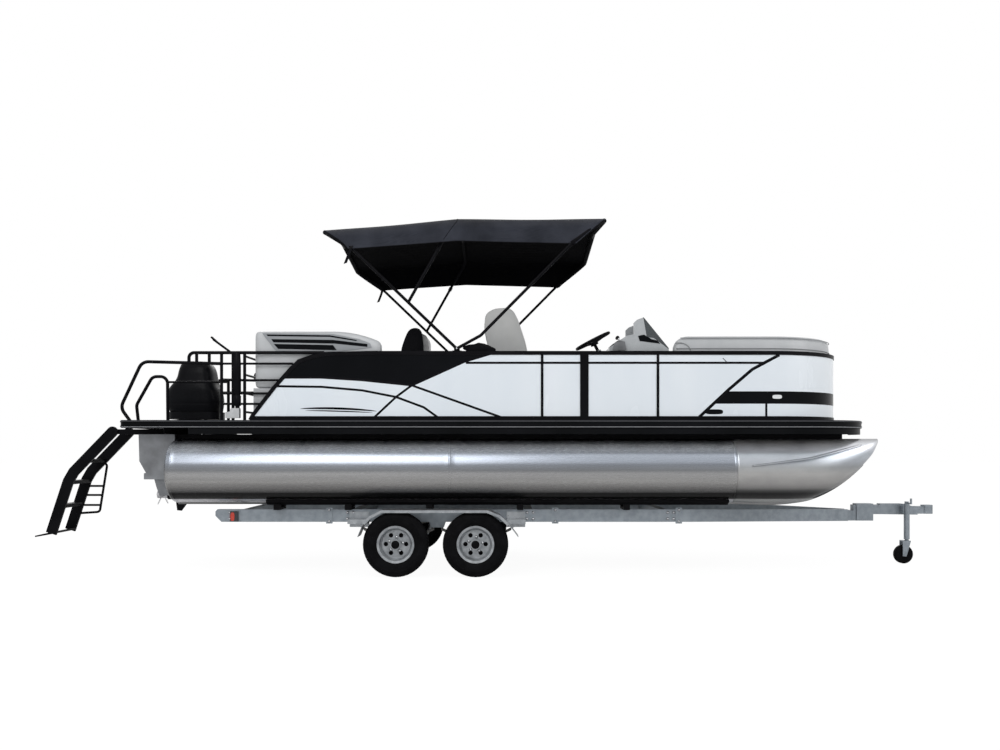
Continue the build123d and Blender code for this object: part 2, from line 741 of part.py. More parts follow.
def stern_gate():
    """A bent tube, three bars and two rings round the post that it hangs on."""
    y = STERN_GATE_WIDE / 2 - RAIL_DIA / 2
    x = STERN_GATE_X
    low, high = DECK_TOP + 40, STERN_GATE_TOP - RAIL_DIA / 2
    ring = bent_tube([(x, -y, low), (x, -y, high), (x, y, high), (x, y, low)], 60, RAIL_DIA)
    bars = [rod((x, -y, z), (x, y, z), BAR_DIA / 2) for z in (low + 30, low + 190, low + 350)]
    post_y = STERN_GATE_HALF + STERN_POST_OUT
    straps = []
    for z in (1620, 2040):
        eye = rod((x, post_y, z), (x, post_y, z + 30), RAIL_DIA / 2 + 7)
        link = block(x - 6, x + 6, y, post_y, z, z + 30)
        straps.append(joined(eye, link) - rod((x, post_y, z - 1), (x, post_y, z + 31), RAIL_DIA / 2 + RUN_GAP))
    return joined(ring, *bars, *straps)


save("stern_gate", stern_gate())

# Stern rails: black tube, an outer and an inner hoop, a top rail, four bars a side and a stowed light pole
OUTER_HOOP = [(-3566, DECK_TOP - 20), (-3668, 1640), (-3460, 2086), (-2691, 2066)]
INNER_HOOP = [(-3620, DECK_TOP - 20), (-3640, 1680), (-3480, 1965), (-3330, 1965), (-3326, DECK_TOP - 20)]
TOP_RAIL_Z = 2172
STERN_RAIL_BACK = -3006
RAIL_POSTS = (-2691, -2580, STERN_GATE_X)
SHORT_POSTS = (-2932, -2810)
BAR_HEIGHTS = (2066, 1906, 1778, 1677)
LIGHT_POLE = (-2537, 1630, 2185)
LIGHT_ARM = ((-2569, 2151), (-2772, 2301))
LIGHT_POLE_R = 21


def stern_rails():
    """Starboard rails, welded into one."""
    y = -FENCE_Y
    gate_y = -STERN_GATE_HALF - STERN_POST_OUT
    r = RAIL_DIA / 2
    hoop = bent_tube([(x, y, z) for x, z in OUTER_HOOP], 95, RAIL_DIA)
    top = bent_tube(
        [(STERN_RAIL_BACK, y, 2066), (STERN_RAIL_BACK, y, TOP_RAIL_Z), (-1700, y, TOP_RAIL_Z)], 50, RAIL_DIA
    )
    posts = [rod((x, y, DECK_TOP), (x, y, TOP_RAIL_Z), r - 1) for x in RAIL_POSTS]
    posts += [rod((x, y, 2066), (x, y, TOP_RAIL_Z), r - 1) for x in SHORT_POSTS]
    bars = [rod((RAIL_POSTS[0], y, z), (-2000, y, z), BAR_DIA / 2) for z in BAR_HEIGHTS]
    pole_x, pole_low, pole_high = LIGHT_POLE
    pole = rod((pole_x, y, pole_low), (pole_x, y, pole_high), LIGHT_POLE_R)
    arm = rod(*[(x, y, z) for x, z in LIGHT_ARM], BAR_DIA / 2)
    inner_y = y + INNER_HOOP_IN
    inner = bent_tube([(x, inner_y, z) for x, z in INNER_HOOP], 70, RAIL_DIA)
    rail_start = (INNER_HOOP[-2][0], inner_y, INNER_RAIL_Z)
    rail_end = (INNER_RAIL_END, inner_y, INNER_RAIL_Z)
    inner_rail = rod(rail_start, rail_end, BAR_DIA / 2)
    inner_post = rod((INNER_RAIL_END, inner_y, DECK_TOP), (INNER_RAIL_END, inner_y, INNER_RAIL_Z + 12), r - 1)
    gate_post = rod((STERN_GATE_X, gate_y, DECK_TOP), (STERN_GATE_X, gate_y, TOP_RAIL_Z), r)
    across = [
        rod((STERN_GATE_X, y + r, z), (STERN_GATE_X, gate_y, z), BAR_DIA / 2) for z in (2140, 1960, 1780, 1600)
    ]
    under = block(-4000, -1000, y - 50, 0, 0, DECK_TOP)
    side = joined(hoop, top, *posts, *bars, pole, arm) - under
    ahead = side_plate(FENCE_REAR + [(0, 2173), (0, DECK_TOP)], y - 40, y + 40)
    inside = joined(inner, inner_rail, inner_post) - under
    return joined(side - frame_s - ahead), joined(gate_post, *across), inside


save("stern_rails", *both_sides(*stern_rails()))

# Boarding ladder: arms under the platform and a folding ladder of flat bars with treads
LADDER_LINE = [LADDER_PIVOT, (-4290, 1010), (-4345, 915), (-4517, 390)]
TREADS = [(-4186, 1118), (-4349, 902), (-4427, 664)]
FOOT_PLATE = [(-4676, 354), (-4676, 368), (-4480, 412), (-4460, 412), (-4460, 392)]
GRAB_LINE = [(-4190, 1120), (-4130, 1070), (-4208, 578), (-4450, 562)]
GRAB_RUNGS = [(-4165, 850), (-4180, 755), (-4196, 650)]


def ladder_arms():
    """Two arms under the platform, each with a pin at its end."""
    x, z = LADDER_PIVOT
    arms = []
    for y in (LADDER_NEAR, LADDER_FAR):
        inner = y + (1 if y == LADDER_NEAR else -1) * (LADDER_BAR / 2 + LADDER_SIDE_GAP + ARM_T / 2)
        arm = block(x, CHANNEL_FIRST, inner - ARM_T / 2, inner + ARM_T / 2, z - ARM_TALL / 2, z + ARM_TALL / 2)
        eye = rod((x, inner - ARM_T / 2, z), (x, inner + ARM_T / 2, z), ARM_TALL / 2)
        outer = y - (1 if y == LADDER_NEAR else -1) * (LADDER_BAR / 2 + 3)
        pin = rod((x, inner, z), (x, outer, z), LADDER_PIN_R)
        arms.append(joined(arm, eye, pin))
    return arms


save("ladder_arms", *ladder_arms())


def ladder():
    """Two flat stringers with eyes, three treads, a foot plate and a grab frame."""
    x, z = LADDER_PIVOT
    stringers = []
    for y in (LADDER_NEAR, LADDER_FAR):
        low, high = y - LADDER_BAR / 2, y + LADDER_BAR / 2
        flat = side_plate(ribbon(LADDER_LINE, LADDER_FLAT), low, high)
        eye = rod((x, low, z), (x, high, z), LADDER_FLAT / 2)
        bore = rod((x, low - 1, z), (x, high + 1, z), LADDER_PIN_R + RUN_GAP)
        stringers.append(joined(flat, eye) - bore)
    treads = [
        block(x - 50, x + 50, LADDER_NEAR + 5, LADDER_FAR - 5, z - 18, z + 18) for x, z in TREADS
    ]
    treads.append(side_plate(FOOT_PLATE, LADDER_NEAR - LADDER_BAR / 2, LADDER_FAR + LADDER_BAR / 2))
    grab = bent_tube([(x, LADDER_FAR, z) for x, z in GRAB_LINE], 35, GRAB_DIA)
    rungs = [rod((x - 190, LADDER_FAR, z), (x, LADDER_FAR, z), GRAB_DIA / 2 - 1) for x, z in GRAB_RUNGS]
    return joined(*stringers, *treads, grab, *rungs)


save("ladder", ladder())

# Lounges: moulded bases, seat cushions and back cushions
LOUNGE_ENDS = {-1: (-2390, -1147), 1: (-2390, -1330)}  # side: back x, front x


def bow_lounge(side, low, high, outer, inner):
    """A stretch of the bow lounge between two insets of the fence line."""
    near = BOW_GATE_HALF + GATE_ROOM
    y_low, y_high = sorted((side * near, side * -FAR_SIDE))
    zone = block(BOW_SEAT_BACKS[side], 4000, y_low, y_high, 0, 3000)
    return fence_band(outer, inner, low, high) & zone


def aft_lounge(side):
    """Base, seat and back cushion of one aft lounge."""
    back, front = LOUNGE_ENDS[side]
    out = FENCE_Y - LOUNGE_OUT
    low_y, high_y = sorted((side * out, side * (out - AFT_SEAT_DEEP)))
    base = block(back, front, low_y, high_y, DECK_TOP, BASE_Z)
    seat_y = sorted((side * (out - BACK_T - 2), side * (out - AFT_SEAT_DEEP)))
    seat = block(back, front, *seat_y, BASE_Z + SEAT_GAP, SEAT_Z)
    rest_y = sorted((side * out, side * (out - BACK_T)))
    rest = block(back, front, *rest_y, BASE_Z + SEAT_GAP, AFT_BACK_TOP)
    seat = seat.fillet(30, seat.edges())
    rest = rest.fillet(40, rest.edges())
    return base, seat, rest


bases, aft_pads, bow_pads = [], [], []
for side in (-1, 1):
    base, *pads = aft_lounge(side)
    bases.append(base)
    aft_pads += pads
    bases.append(bow_lounge(side, DECK_TOP, BASE_Z, LOUNGE_OUT, BOW_SEAT_DEEP))
    seat_room = (LOUNGE_OUT + BACK_T + 2, BOW_SEAT_DEEP + 10)
    bow_pads.append(bow_lounge(side, BASE_Z + SEAT_GAP, SEAT_Z, *seat_room))
    bow_pads.append(bow_lounge(side, BASE_Z + SEAT_GAP, BOW_BACK_TOP, LOUNGE_OUT, LOUNGE_OUT + BACK_T))
save("lounge_bases", *bases)
save("aft_lounge_cushions", *aft_pads)
save("bow_lounge_cushions", *bow_pads)

# Helm console with its windscreen
CONSOLE_SIDE = [
    (1330, DECK_TOP), (1300, 1930), (960, 2060), (922, 2115), (1059, 2178), (1064, 2228), (1225, 2339),
    (1302, 2358), (1351, 2366), (1419, 2330), (1497, 2318), (1640, 2212), (1650, 2150), (1650, DECK_TOP),
]
SCREEN_TIP = (1392, 2520)
SCREEN_FOOT = (1640, 2216)
FIN_SIDE = [(1302, 2352), (1299, 2466), (1332, 2497), SCREEN_TIP, (1430, 2312)]
SCREEN_WING = [(1424, 2326), SCREEN_TIP, SCREEN_FOOT]
SCREEN_T = 8
FIN_T = 25


def on_stem(down):
    """The point this far down the steering wheel's own axis."""
    lean = radians(WHEEL_LEAN)
    return WHEEL_X + down * sin(lean), CONSOLE_Y, WHEEL_Z - down * cos(lean)


def console():
    """The moulded console with a fin up each side and a collar for the wheel's stem."""
    near, far = CONSOLE_Y - CONSOLE_HALF, CONSOLE_Y + CONSOLE_HALF
    body = side_plate(CONSOLE_SIDE, near, far)
    fins = [side_plate(FIN_SIDE, y, y + FIN_T) for y in (near, far - FIN_T)]
    collar = rod(on_stem(110), on_stem(200), COLLAR_R)
    return joined(body, *fins, collar) - rod(on_stem(109), on_stem(WHEEL_STEM + 1), STEM_R + RUN_GAP)


def windscreen(console_body):
    """A raked sheet with a small wing down each side."""
    near, far = CONSOLE_Y - CONSOLE_HALF, CONSOLE_Y + CONSOLE_HALF
    sheet = side_plate(ribbon([SCREEN_TIP, SCREEN_FOOT], SCREEN_T), near, far)
    wings = [side_plate(SCREEN_WING, y, y + SCREEN_T) for y in (near, far - SCREEN_T)]
    return joined(sheet, *wings) - console_body


console_body = console()
save("console", console_body)
save("windscreen", windscreen(console_body))


# Steering wheel: a rim, three spokes and a hub on its stub shaft
def helm_wheel():
    """Made flat about the Z axis, then leaned towards the driver."""
    rim = Solid.make_torus(WHEEL_R - WHEEL_RIM, WHEEL_RIM)
    hub = Solid.make_cylinder(40, 34, Plane((0, 0, -48)))
    spokes = [
        rod((0, 0, -28), ((WHEEL_R - WHEEL_RIM) * cos(a), (WHEEL_R - WHEEL_RIM) * sin(a), 0), 9)
        for a in (0, 2 * pi / 3, 4 * pi / 3)
    ]
    shaft = Solid.make_cylinder(STEM_R, WHEEL_STEM - 45, Plane((0, 0, -WHEEL_STEM)))
    wheel = joined(rim, hub, *spokes, shaft)
    wheel = wheel.rotate(Axis.Y, -WHEEL_LEAN)
    return wheel.translate((WHEEL_X, CONSOLE_Y, WHEEL_Z))


save("helm_wheel", helm_wheel())


# Swivel chairs: a pedestal bolted to the deck, and a shell with cushions that turns on it
def pedestal(place):
    """A round foot and a column."""
    x, y = place
    foot = rod((x, y, DECK_TOP), (x, y, DECK_TOP + 14), 150)
    column = rod((x, y, DECK_TOP), (x, y, CHAIR_SEAT_Z - SEAT_GAP), COLUMN_R)
    return joined(foot, column)


CHAIR_SIDE = [  # forward of the swivel, above the seat pan's foot
    (-178, 0), (-205, 250), (-233, 750), (-181, 822), (-16, 845), (45, 838), (97, 781), (128, 698),
    (221, 430), (232, 230), (232, 0),
]
CHAIR_REAR = [
    (-178, 0), (-205, 250), (-233, 750), (-181, 822), (-90, 834), (-150, 740), (-140, 250), (-118, 0)
]
CHAIR_PAD = [(-116, 182), (-138, 250), (-148, 738), (-62, 752), (-30, 640), (-8, 250), (-8, 182)]
CHAIR_TALL = 845
PAN_T = 50
WING_T = 40


def chair(place, half_wide, top):
    """A shell with a wing down each side, and its cushions between the wings, facing the bow."""
    x, y = place
    low = CHAIR_SEAT_Z
    grow = (top - low) / CHAIR_TALL

    def outline(points):
        return [(x + dx, low + dz * grow) for dx, dz in points]

    inner = half_wide - WING_T
    shell = joined(
        side_plate(outline(CHAIR_SIDE), y - half_wide, y - inner),
        side_plate(outline(CHAIR_SIDE), y + inner, y + half_wide),
        side_plate(outline(CHAIR_REAR), y - half_wide, y + half_wide),
        block(x - 178, x + 232, y - half_wide, y + half_wide, low, low + PAN_T),
        rod((x, y, low - 60), (x, y, low), COLUMN_R + 14),
    )
    shell -= rod((x, y, low - 61), (x, y, low), COLUMN_R + RUN_GAP)
    seat = block(
        x - 116, x + 222, y - inner + SEAT_GAP, y + inner - SEAT_GAP, low + PAN_T + SEAT_GAP, low + 180 * grow
    )
    back = side_plate(outline(CHAIR_PAD), y - inner + SEAT_GAP, y + inner - SEAT_GAP)
    return shell, [seat, back]


save("chair_pedestals", pedestal(HELM_CHAIR), pedestal(MATE_CHAIR))
helm_shell, helm_pads = chair(HELM_CHAIR, 250, 2695)
mate_shell, mate_pads = chair(MATE_CHAIR, 240, 2625)
save("helm_chair_shell", helm_shell)
save("helm_chair_cushions", *helm_pads)
save("mate_chair_shell", mate_shell)
save("mate_chair_cushions", *mate_pads)

# Sun top: mounts on the fence rail, three bows and the canopy over them
REAR_BOW = [TOP_PIVOT, (-1421, 3171), (-1724, 3402)]
MID_BOW = [MID_PIVOT, (-559, 3266), (-418, 3512)]
FRONT_BOW = [TOP_PIVOT, (-187, 2337), (685, 3219), (1026, 3512)]
BOW_BEND = 160
BOW_SHOULDER = 60
CROWN_R = 3000
CROWN_SLOPE = 0.11


def bow_points(x, z, y):
    """Shoulder and middle points of an arch whose widest line is at y."""
    shoulder = y - BOW_SHOULDER
    return (x, -shoulder, z + CROWN - CROWN_SLOPE * shoulder), (x, 0, z + CROWN)


def bow(line, y):
    """A tube up one side, over the top with a slight crown, and down the other, with an eye at each foot."""
    shoulder, middle = bow_points(*line[-1], y)
    points = [(x, -y, z) for x, z in line[:-1]] + [shoulder, middle]
    points += [(x, -py, z) for x, py, z in points[:-1]][::-1]
    low_bends = [60] * (len(line) - 2)
    radii = low_bends + [BOW_BEND, CROWN_R, BOW_BEND] + low_bends
    path = FilletPolyline(*points, radius=radii)
    tube = sweep(Plane(origin=path @ 0, z_dir=path % 0) * Circle(TOP_TUBE / 2), path=path)
    x, z = line[0]
    half = TOP_TUBE / 2 - 0.5
    eyes = [rod((x, side * y - half, z), (x, side * y + half, z), TOP_EYE_R) for side in (-1, 1)]
    bore = rod((x, -y - 50, z), (x, y + 50, z), TOP_PIN_R + RUN_GAP)
    return joined(tube, *eyes) - bore


def cross_pins(place, y_in, y_out):
    """A pin on each side at one (x, z) place."""
    x, z = place
    return both_sides(rod((x, -y_out, z), (x, -y_in, z), TOP_PIN_R))


half_tube = TOP_TUBE / 2
mid_pins = cross_pins(MID_PIVOT, MID_BOW_Y - half_tube, REAR_BOW_Y)
save("sun_top_rear_bow", joined(bow(REAR_BOW, REAR_BOW_Y), *mid_pins))
save("sun_top_mid_bow", bow(MID_BOW, MID_BOW_Y))
save("sun_top_front_bow", bow(FRONT_BOW, FRONT_BOW_Y))


def top_mount():
    """A plate on the fence rail between two bow feet, with the pin through it."""
    x, z = TOP_PIVOT
    middle = (REAR_BOW_Y + FRONT_BOW_Y) / 2
    plate = block(x - 28, x + 28, -middle - MOUNT_T / 2, -middle + MOUNT_T / 2, FENCE_TOP, z + 14)
    foot = block(x - 45, x + 45, -middle - 14, -middle + 14, FENCE_TOP, FENCE_TOP + 5)
    pin = rod((x, -FRONT_BOW_Y - half_tube - 3, z), (x, -REAR_BOW_Y + half_tube + 3, z), TOP_PIN_R)
    return joined(plate, foot, pin)


save("sun_top_mounts", *both_sides(top_mount()))

CANOPY_SECTIONS = [  # x, top z, hem z
    (-1760, 3399, 3175),
    (-418, 3512, 3262),
    (1050, 3512, 3215),
]
CANOPY_HALF = FRONT_BOW_Y + 30


def canopy_arch(x, top, hem, lift, inset):
    """One line of the arch, lifted from the bow's line and drawn in at the sides."""
    w = CANOPY_HALF - inset
    shoulder = w - 25
    shoulder_z = top + CROWN + lift - CROWN_SLOPE * shoulder
    return FilletPolyline(
        (x, -w, hem),
        (x, -shoulder, shoulder_z),
        (x, 0, top + CROWN + lift),
        (x, shoulder, shoulder_z),
        (x, w, hem),
        radius=[BOW_BEND, CROWN_R, BOW_BEND],
    )


def canopy_section(x, top, hem):
    """A thin arch across the boat."""
    seat = TOP_TUBE / 2 + 0.4
    inner = canopy_arch(x, top, hem, seat, CANOPY_T)
    outer = canopy_arch(x, top, hem, seat + CANOPY_T, 0)
    ends = [Line(inner @ 0, outer @ 0), Line(inner @ 1, outer @ 1)]
    return Wire([*outer.edges(), *inner.edges(), *[edge for end in ends for edge in end.edges()]])


CANOPY_CUT = [  # the cloth's ends run down along the outer bows
    (-1440, 3150), (-1500, 3212), (-1756, 3405), (-1756, 3700),
    (1048, 3700), (1048, 3510), (720, 3212), (690, 3150),
]
cloth = Solid.make_loft([canopy_section(*row) for row in CANOPY_SECTIONS], ruled=True)
save("canopy", cloth & side_plate(CANOPY_CUT, -CANOPY_HALF - 5, CANOPY_HALF + 5))


# Trailer frame: two side rails, cross beams, the drawbar and the posts that carry the bunks
def trailer_frame():
    """All welded and galvanised steel."""
    inner, outer = TRAILER_Y - CHASSIS_T / 2, TRAILER_Y + CHASSIS_T / 2
    rail = side_plate(
        [
            (CHASSIS_BACK, RAIL_HIGH - 20),
            (CHASSIS_BACK + 20, RAIL_HIGH),
            (CHASSIS_BEND, RAIL_HIGH),
            (CHASSIS_BEND, RAIL_LOW),
            (CHASSIS_BACK + 60, RAIL_LOW),
            (CHASSIS_BACK, RAIL_LOW + 60),
        ],
        -outer,
        -inner,
    )
    ends = []
    for x, y_low, y_high, drop in (
        (CHASSIS_BEND - 5, -outer, -inner, 0), (TONGUE_JOIN, -75, -25, ARM_DROP)
    ):
        corners = [
            (x, y_low, RAIL_LOW - drop), (x, y_high, RAIL_LOW - drop), (x, y_high, RAIL_HIGH - drop),
            (x, y_low, RAIL_HIGH - drop),
        ]
        ends.append(Wire.make_polygon(corners, close=True))
    arm = Solid.make_loft(ends, ruled=True)
    low_end = block(TONGUE_JOIN - 260, 3990, -50, 50, RAIL_LOW - ARM_DROP + 2, RAIL_HIGH - ARM_DROP - 12)
    clamp_block = block(3890, 4070, -62, 62, RAIL_LOW - ARM_DROP + 2, RAIL_HIGH + 2)
    draw_tube = block(3860, TONGUE_END, -50, 50, RAIL_LOW + 12, RAIL_HIGH - 12)
    tongue = joined(low_end, clamp_block, draw_tube)
    beams = [
        block(x - 40, x + 40, -inner - 5, inner + 5, RAIL_LOW + 10, RAIL_HIGH - 30)
        for x in (-2650, -1500, 300, 1700)
    ]
    return joined(rail, mirrored(rail), arm, mirrored(arm), tongue, *beams)


save("trailer_frame", trailer_frame())

# Bunks: boards along both sides of each keel, on short posts from the side rails
BUNK_OFF = 125
BUNK_WIDE = 80
BUNK_T = 28
BUNK_BACK, BUNK_FRONT = -2300, 2250
BUNK_XS = (-2200, -1500, -700, 200, 1250, 2150)


def bunks():
    """A board that lies against the tube, and the posts under it."""
    boards, posts = [], []
    lean = degrees(atan2(BUNK_OFF, (TUBE_R**2 - BUNK_OFF**2) ** 0.5))
    for side in (-1, 1):
        board = block(BUNK_BACK, BUNK_FRONT, -BUNK_WIDE / 2, BUNK_WIDE / 2, -BUNK_T, 0)
        board = board.translate((0, 0, -TUBE_R - WELD_RING - SEAT_GAP))
        board = board.rotate(Axis.X, side * lean)
        boards.append(board.translate((0, -TUBE_Y, TUBE_Z)))
    for x in BUNK_XS:
        if x < CHASSIS_BEND:
            post = block(
                x - 30, x + 30, -TUBE_Y - BUNK_OFF - 20, -TUBE_Y + BUNK_OFF + 20, RAIL_HIGH, RAIL_HIGH + 62
            )
            keel_room = block(
                x - 40, x + 40, -TUBE_Y - 70, -TUBE_Y + 70, RAIL_HIGH + 20, RAIL_HIGH + 80
            )
            posts.append(post - keel_room - boards)
    return boards, posts


bunk_boards, bunk_posts = bunks()
save("bunk_boards", *both_sides(*bunk_boards))
save("bunk_brackets", *both_sides(*bunk_posts))

# Axles: square beams with a round spindle at each end
SPINDLE_IN = WHEEL_TRACK - 105
SPINDLE_OUT = WHEEL_TRACK + 10


def axle(x):
    """A beam across and its spindles."""
    beam = block(x - 25, x + 25, -SPINDLE_IN, SPINDLE_IN, TYRE_R - AXLE_TALL / 2, TYRE_R + AXLE_TALL / 2)
    spindle = rod((x, -SPINDLE_OUT, TYRE_R), (x, SPINDLE_OUT, TYRE_R), SPINDLE_R)
    return joined(beam, spindle)


save("axle_beams", *[axle(x) for x in AXLE_XS])

# Springs: a leaf pack over each axle, shackle plates and the rocker between them
SPRING_HALF = 350
SPRING_EYE_Z = 432
SPRING_Y = TRAILER_Y
SPRING_WIDE = 45
SPRING_T = 26


def spring(x):
    """A leaf pack that arches down onto the axle."""
    seat = TYRE_R + AXLE_TALL / 2
    upper = ThreePointArc(
        (x - SPRING_HALF, 0, SPRING_EYE_Z + SPRING_T),
        (x, 0, seat + SPRING_T),
        (x + SPRING_HALF, 0, SPRING_EYE_Z + SPRING_T),
    )
    lower = ThreePointArc(
        (x - SPRING_HALF, 0, SPRING_EYE_Z), (x, 0, seat), (x + SPRING_HALF, 0, SPRING_EYE_Z)
    )
    ends = [Line(upper @ 0, lower @ 0), Line(upper @ 1, lower @ 1)]
    outline = Wire([*upper.edges(), *lower.edges(), *[e for end in ends for e in end.edges()]])
    pack = Solid.extrude(Face(outline), (0, SPRING_WIDE, 0))
    return pack.translate((0, -SPRING_Y - SPRING_WIDE / 2, 0))


MID_X = sum(AXLE_XS) / 2
hanger_xs = [AXLE_XS[0] - SPRING_HALF - 14, MID_X, AXLE_XS[1] + SPRING_HALF + 14]
hangers = []
for x in hanger_xs:
    wide = 62 if x == MID_X else 13.5
    hangers.append(
        side_plate(
            [
                (x - wide - 20, RAIL_LOW),
                (x + wide + 20, RAIL_LOW),
                (x + wide, SPRING_EYE_Z + SPRING_T),
                (x - wide, SPRING_EYE_Z + SPRING_T),
            ],
            -SPRING_Y - SPRING_WIDE / 2,
            -SPRING_Y + SPRING_WIDE / 2,
        )
    )
springs = [spring(x) for x in AXLE_XS]
save("leaf_springs", *both_sides(*[s - hangers for s in springs]))
save("spring_hangers", *both_sides(*hangers))

# Fenders: one pressed sheet over both wheels of a side, on brackets from the rail
FENDER_LINE = [
    (-1370, 395), (-1314, 530), (-1250, 595), (-1140, 650), (-125, 650), (-5, 603), (80, 524), (176, 395),
]
FENDER_BRACKETS = [(-1496, -1300), (66, 251)]  # back x, front x


def fender():
    """The sheet with its bent ends, and a bracket from the side rail to each end."""
    sheet = side_plate(ribbon(FENDER_LINE, FENDER_T), -FENDER_OUT, -FENDER_IN)
    rail_face = -TRAILER_Y - CHASSIS_T / 2
    lip_line = [(x, z - FENDER_LIP / 2 + FENDER_T / 2) for x, z in FENDER_LINE[1:-1]]
    brackets = [side_plate(ribbon(lip_line, FENDER_LIP), -FENDER_OUT, -FENDER_OUT + FENDER_T)]
    for back, front in FENDER_BRACKETS:
        brackets.append(block(back, front, -FENDER_IN - 40, rail_face, 505, 550))
        brackets.append(block(back, front, rail_face - 10, rail_face, 464, 617))
    return joined(sheet, *brackets)


save("fenders", *both_sides(fender()))

# Wheels: a pressed rim on a hub, and a tyre
RIM_PROFILE = [  # distance outwards across the wheel, radius
    (-70, FLANGE_R), (-62, FLANGE_R), (-60, RIM_R), (-20, 148),
    (34, 148), (60, RIM_R), (62, FLANGE_R), (70, FLANGE_R),
    (66, RIM_R - 6), (40, 140), (-24, 140), (-66, RIM_R - 6),
]
TYRE_PROFILE = [
    (-60, RIM_R + 0.3), (-62, FLANGE_R + 1), (-78, 200), (-87.5, 245), (-84, 285), (-66, 311), (-40, TYRE_R),
    (40, TYRE_R), (66, 311), (84, 285), (87.5, 245), (78, 200), (62, FLANGE_R + 1), (60, RIM_R + 0.3),
]
RIM_HOLES = 6


def spun(profile, at):
    """A closed profile of (across, radius) spun round the wheel's axis through the point at."""
    x, y, z = at
    outline = Wire.make_polygon([(x, y + across, z + radius) for across, radius in profile], close=True)
    return Solid.revolve(Face(outline), 360, Axis((x, y, z), (0, 1, 0)))


def road_wheel(x):
    """A starboard rim and tyre."""
    y, z = -WHEEL_TRACK, TYRE_R
    barrel = spun(RIM_PROFILE, (x, y, z))
    disc = rod((x, y - 12, z), (x, y - 4, z), 142)
    holes = [
        rod((x + 98 * cos(a), y - 20, z + 98 * sin(a)), (x + 98 * cos(a), y + 20, z + 98 * sin(a)), 22)
        for a in [2 * pi * i / RIM_HOLES for i in range(RIM_HOLES)]
    ]
    hub = rod((x, y - 75, z), (x, y + 60, z), HUB_R)
    bore = rod((x, y - 20, z), (x, y + 61, z), SPINDLE_R + RUN_GAP)
    rim = (joined(barrel, disc - holes, hub)) - bore
    return rim, spun(TYRE_PROFILE, (x, y, z))


for place, x in zip(("rear", "front"), AXLE_XS):
    rim, tyre = road_wheel(x)
    save(f"rim_{place}_starboard", rim)
    save(f"tyre_{place}_starboard", tyre)
    save(f"rim_{place}_port", mirrored(rim))
    save(f"tyre_{place}_port", mirrored(tyre))


# Coupler: a pressed head over the tow ball, on the end of the tongue
def coupler():
    """The body and a round head with its socket."""
    body = side_plate(
        [(TONGUE_END, RAIL_LOW + 12), (4560, 520), (4560, 600), (4400, 640), (TONGUE_END, 640)], -48, 48
    )
    head = Solid.make_cylinder(62, 95, Plane((COUPLER_TIP - 62, 0, 530)))
    neck = block(4540, COUPLER_TIP - 62, -40, 40, 530, 610)
    socket = Solid.make_sphere(BALL_R + 0.5, Plane((COUPLER_TIP - 62, 0, COUPLER_Z)))
    mouth = rod((COUPLER_TIP - 62, 0, 520), (COUPLER_TIP - 62, 0, COUPLER_Z), BALL_R + 0.5)
    return joined(body, head, neck) - socket - mouth


save("coupler", coupler())


# Jockey wheel: a clamp on the coupler, a leg, a fork and a wheel
def jockey():
    """The leg with its clamp and crank, the fork with its stem, and the wheel behind the stem."""
    x, y = JOCKEY_X, JOCKEY_Y
    wheel_x = x - JOCKEY_TRAIL
    top = 2 * JOCKEY_R + 40
    bore = rod((x, y, JOCKEY_LOW - 1), (x, y, JOCKEY_LOW + 60), JOCKEY_STEM_R + RUN_GAP)
    leg = rod((x, y, JOCKEY_LOW), (x, y, JOCKEY_TOP), 30) - bore
    tube = joined(
        leg,
        block(x - 40, x + 40, y, -48, 540, 620),
        rod((x, y, JOCKEY_TOP - 5), (x, y, JOCKEY_TOP + 24), 22),
        rod((x, y, JOCKEY_TOP + 10), (x, y - 120, JOCKEY_TOP + 10), 7),
        rod((x, y - 108, JOCKEY_TOP), (x, y - 108, JOCKEY_TOP + 62), 11),
    )
    cheeks = [
        side_plate(
            [(wheel_x - 20, JOCKEY_R - 20), (wheel_x + 20, JOCKEY_R - 20), (x + 26, top), (x - 60, top)],
            *sorted((y + side * 40, y + side * 46)),
        )
        for side in (-1, 1)
    ]
    fork = joined(
        rod((x, y, top), (x, y, JOCKEY_LOW + 60 - SEAT_GAP), JOCKEY_STEM_R),
        block(x - 60, x + 26, y - 46, y + 46, top, top + 8),
        *cheeks,
        rod((wheel_x, y - 52, JOCKEY_R), (wheel_x, y + 52, JOCKEY_R), JOCKEY_AXLE_R),
    )
    hole = JOCKEY_AXLE_R + RUN_GAP
    wheel = spun(
        [(-30, hole), (30, hole), (30, 88), (20, JOCKEY_R), (-20, JOCKEY_R), (-30, 88)], (wheel_x, y, JOCKEY_R)
    )
    return tube, fork, wheel


jockey_tube, jockey_fork, jockey_wheel = jockey()
save("jockey_tube", jockey_tube)
save("jockey_fork", jockey_fork)
save("jockey_wheel", jockey_wheel)

# Tail lamps: one on the back end of each side rail
lamp = block(CHASSIS_BACK + 150, CHASSIS_BACK + 230, -TRAILER_Y - 45, -TRAILER_Y - CHASSIS_T / 2, 520, 620)
save("tail_lamps", *both_sides(lamp))
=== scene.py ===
import math

